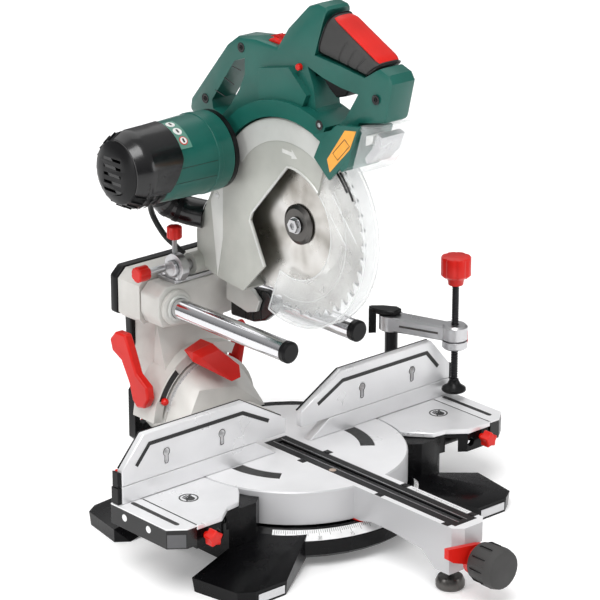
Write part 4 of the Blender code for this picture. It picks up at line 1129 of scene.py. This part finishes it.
def clamp_details():
    """Threaded spindle with its pad, fluted knob, lower collar, red insert and dark rods in the arm's grooves,
    painted shade.
    """
    low, high = reach("clamp_spindle")
    knob_low, knob_high = reach("clamp_knob")
    middle = (knob_low + knob_high) / 2
    axis = Vector((middle.x, middle.y, 0))
    pad_top = low.z + 15
    add_piece("spindle_thread", threaded("Z", axis, 4.5, pad_top, high.z - 0.5, pitch=3.2, depth=0.95),
              "clamp_screw", "post_black")
    pad = [(0, 0), (14, 0), (15, 1.5), (14.3, 4), (8.5, 8), (6.2, 12.5), (5.6, 15), (0, 15)]
    pad = [(radius, low.z + height) for radius, height in pad]
    add_piece("spindle_pad", turned("Z", axis, pad, 48), "clamp_screw", "black_plastic", round_off=0.4,
              stands_for=("clamp_spindle",))
    grip = fluted("Z", axis, 18.4, knob_low.z + 10, knob_high.z, 8, 1.5, 3.0)
    add_piece("clamp_knob_grip", grip, "clamp_screw", "red_plastic", stands_for=("clamp_knob",))
    neck = [(0, 0), (9, 0), (10, 6), (13, 10.5), (0, 10.5)]
    neck = [(radius, knob_low.z + height) for radius, height in neck]
    add_piece("clamp_knob_neck", turned("Z", axis, neck, 40), "clamp_screw", "red_plastic", round_off=0.5)
    collar = [(5.2, 153), (13.5, 153), (15.4, 155), (15.4, 163), (5.2, 163)]
    add_piece("clamp_collar", turned("Z", axis, collar, 40), "clamp_arm", "steel", round_off=0.4)
    post = pivot_of("clamp_arm_swing")
    post.z = 0
    heading = (axis - post).normalized()
    across = Vector((heading.y, -heading.x, 0))
    direction = (heading * 0.75 + across * -0.66).normalized()
    sideways = Vector((-direction.y, direction.x, 0))
    insert = [axis + direction * out + sideways * along + Vector((0, 0, z))
              for along in (-5, 5) for z in (159.5, 175) for out in (13.8, 15.1)]
    add_piece("clamp_arm_insert", hull(insert), "clamp_arm", "red_plastic", round_off=0.4)
    # dark steel rods stand for the shade in the arm's grooves
    for name, side in (("front", -1), ("rear", 1)):
        groove = []
        for base, half in ((post + heading * 17, 12.7), (axis - heading * 17, 11.4)):
            groove.append(base + across * side * half + Vector((0, 0, 172)))
        add_piece("clamp_arm_groove_shade_" + name, sweep(groove, 1.3, 0, 10), "clamp_arm", "dark_steel")


# --- base and turntable ---
DIGITS = {                             # strokes on a grid 1 wide and 2 high
    "0": [[(0, 0), (1, 0), (1, 2), (0, 2), (0, 0)]], "1": [[(0.2, 1.6), (0.6, 2), (0.6, 0)]],
    "3": [[(0, 2), (1, 2), (1, 0), (0, 0)], [(0.2, 1), (1, 1)]],
    "4": [[(0, 2), (0, 1), (1, 1)], [(1, 2), (1, 0)]],
    "5": [[(1, 2), (0, 2), (0, 1), (1, 1), (1, 0), (0, 0)]],
}


def cone_point(degrees, along, lift_by=0.0):
    """A point on the base's cone: along runs from 0 at its lower edge to 1 at the top."""
    low, high = (151.2, 33.7), (140.3, 43.8)
    radius = low[0] + (high[0] - low[0]) * along + 0.68 * lift_by
    angle = math.radians(degrees)
    return Vector((radius * math.cos(angle), radius * math.sin(angle),
                   low[1] + (high[1] - low[1]) * along + 0.73 * lift_by))


def cone_patch(start, end, low, high, lift_by, steps):
    section = ((low, 0.03), (high, 0.03), (high, lift_by), (low, lift_by))
    return loft([[cone_point(degrees, a, h) for a, h in section] for degrees in spread(start, end, steps)])


def mitre_scale():
    """White band on the base's cone with degree ticks and numbers."""
    start, end = -141, -39
    add_piece("mitre_scale_band", cone_patch(start, end, 0.04, 0.96, 0.30, 72), "base", "scale_white")
    ticks = []
    for degrees in range(-50, 51):
        length = 0.50 if degrees % 5 == 0 else 0.28
        at = -90 + degrees
        ticks.append(cone_patch(at - 0.09, at + 0.09, 0.94 - length, 0.94, 0.42, 1))
    add_piece("mitre_scale_ticks", ticks, "base", "ink_black")
    strokes = []
    for degrees in range(-45, 46, 15):
        text = str(abs(degrees))
        for place, digit in enumerate(text):
            for line in DIGITS[digit]:
                points = []
                for a, b in line:
                    shift = (place - len(text) / 2) * 1.0 + a * 0.62 + 0.2
                    points.append(cone_point(-90 + degrees + shift, 0.12 + 0.13 * b, 0.36))
                strokes.append(sweep(points, 0.22, 0, 5))
    add_piece("mitre_scale_numbers", strokes, "base", "ink_black")


def foot_bands():
    """Silver bands on the toes of the four feet: a painted highlight where the glossy black toes catch the light.
    """
    for side, name in SIDES:
        for end, flip, size in (("_front", 1, 1.0), ("_rear", -1, 0.93)):
            corners = [(side * size * x, flip * size * -157.6 + push, z) for x in (152, 190)
                       for push in (-0.5, 0.5) for z in (3, 13)]
            # steel-coloured band: painted highlight on the glossy black toe
            add_piece("foot_highlight_band_" + name + end, hull(corners), "base", "steel", round_off=0.3)


def arm_details():
    """Ridges, tabs and screws of the table insert, and the rule beside it."""
    top = TABLE_TOP
    insert = reach("table_insert")[1].z
    for side, name in SIDES:
        line = box(side * 6.2 - 0.5, side * 6.2 + 0.5, -280, 28, insert - 0.1, insert + 0.25)
        add_piece("insert_ridge_" + name, line, "turntable", "steel", round_off=0.1)
        tabs, screws = [], []
        for y in (-38, -168, -275):
            tabs.append(box(side * 20 - 3.6, side * 20 + 3.6, y - 5, y + 5, top - 0.2, top + 0.4))
            screws.append(rod("Z", (side * 18.6, y, 0), 2.2, top + 0.3, top + 0.7, 18, 0.2))
        add_piece("insert_tabs_" + name, tabs, "turntable", "black_plastic", round_off=0.25)
        add_piece("insert_screws_" + name, screws, "turntable", "post_black")
    strip = box(17.4, 21.2, -268, -176, top + MARK_LOW, top + 0.3)
    add_piece("arm_rule", strip, "turntable", "scale_white", round_off=0.08)
    ticks = []
    for i in range(45):
        length = 3.4 if i % 5 == 0 else 1.9
        ticks.append(box(21.0 - length, 21.0, -267 + 2 * i - 0.2, -267 + 2 * i + 0.2, top + 0.28, top + 0.4))
    add_piece("arm_rule_ticks", ticks, "turntable", "ink_black")
    stud = rod("Z", (-12, -81, 0), 4.2, insert - 0.1, insert + 0.5, 24, 0.3)
    add_piece("insert_stud", stud, "turntable", "tan_pad")


def mitre_pointer():
    """Red pointer over the mitre scale, short enough to pass the base's walls."""
    corners = [(131, 11), (131, 6.5), (141, 6.8), (143.5, 8.2), (141, 9.6)]
    outline = [(-r * math.sin(math.radians(a)), -r * math.cos(math.radians(a))) for r, a in corners]
    add_piece("mitre_pointer", prism("XY", outline, 44.8, 46.2), "turntable", "red_plastic", round_off=0.3)


def build():
    dress_cad_nodes()
    for make in (head_cable, saw_blade, guard_details, handle_details, motor_details, cap_details,
                 grip_details, carry_handle_details, lower_guard_details, dust_port, rear_chute,
                 pivot_details, column_details, rail_details, knob_details, clamp_details, mitre_pointer):
        make()
    for side, name in SIDES:
        fence_details(side, name)
        table_details(side, name)
        end_blocks(side, name)
    for make in (slot_liners, lamp_parts, mitre_scale, foot_bands, arm_details):
        make()


set_stage()
build()
bpy.context.view_layer.update()
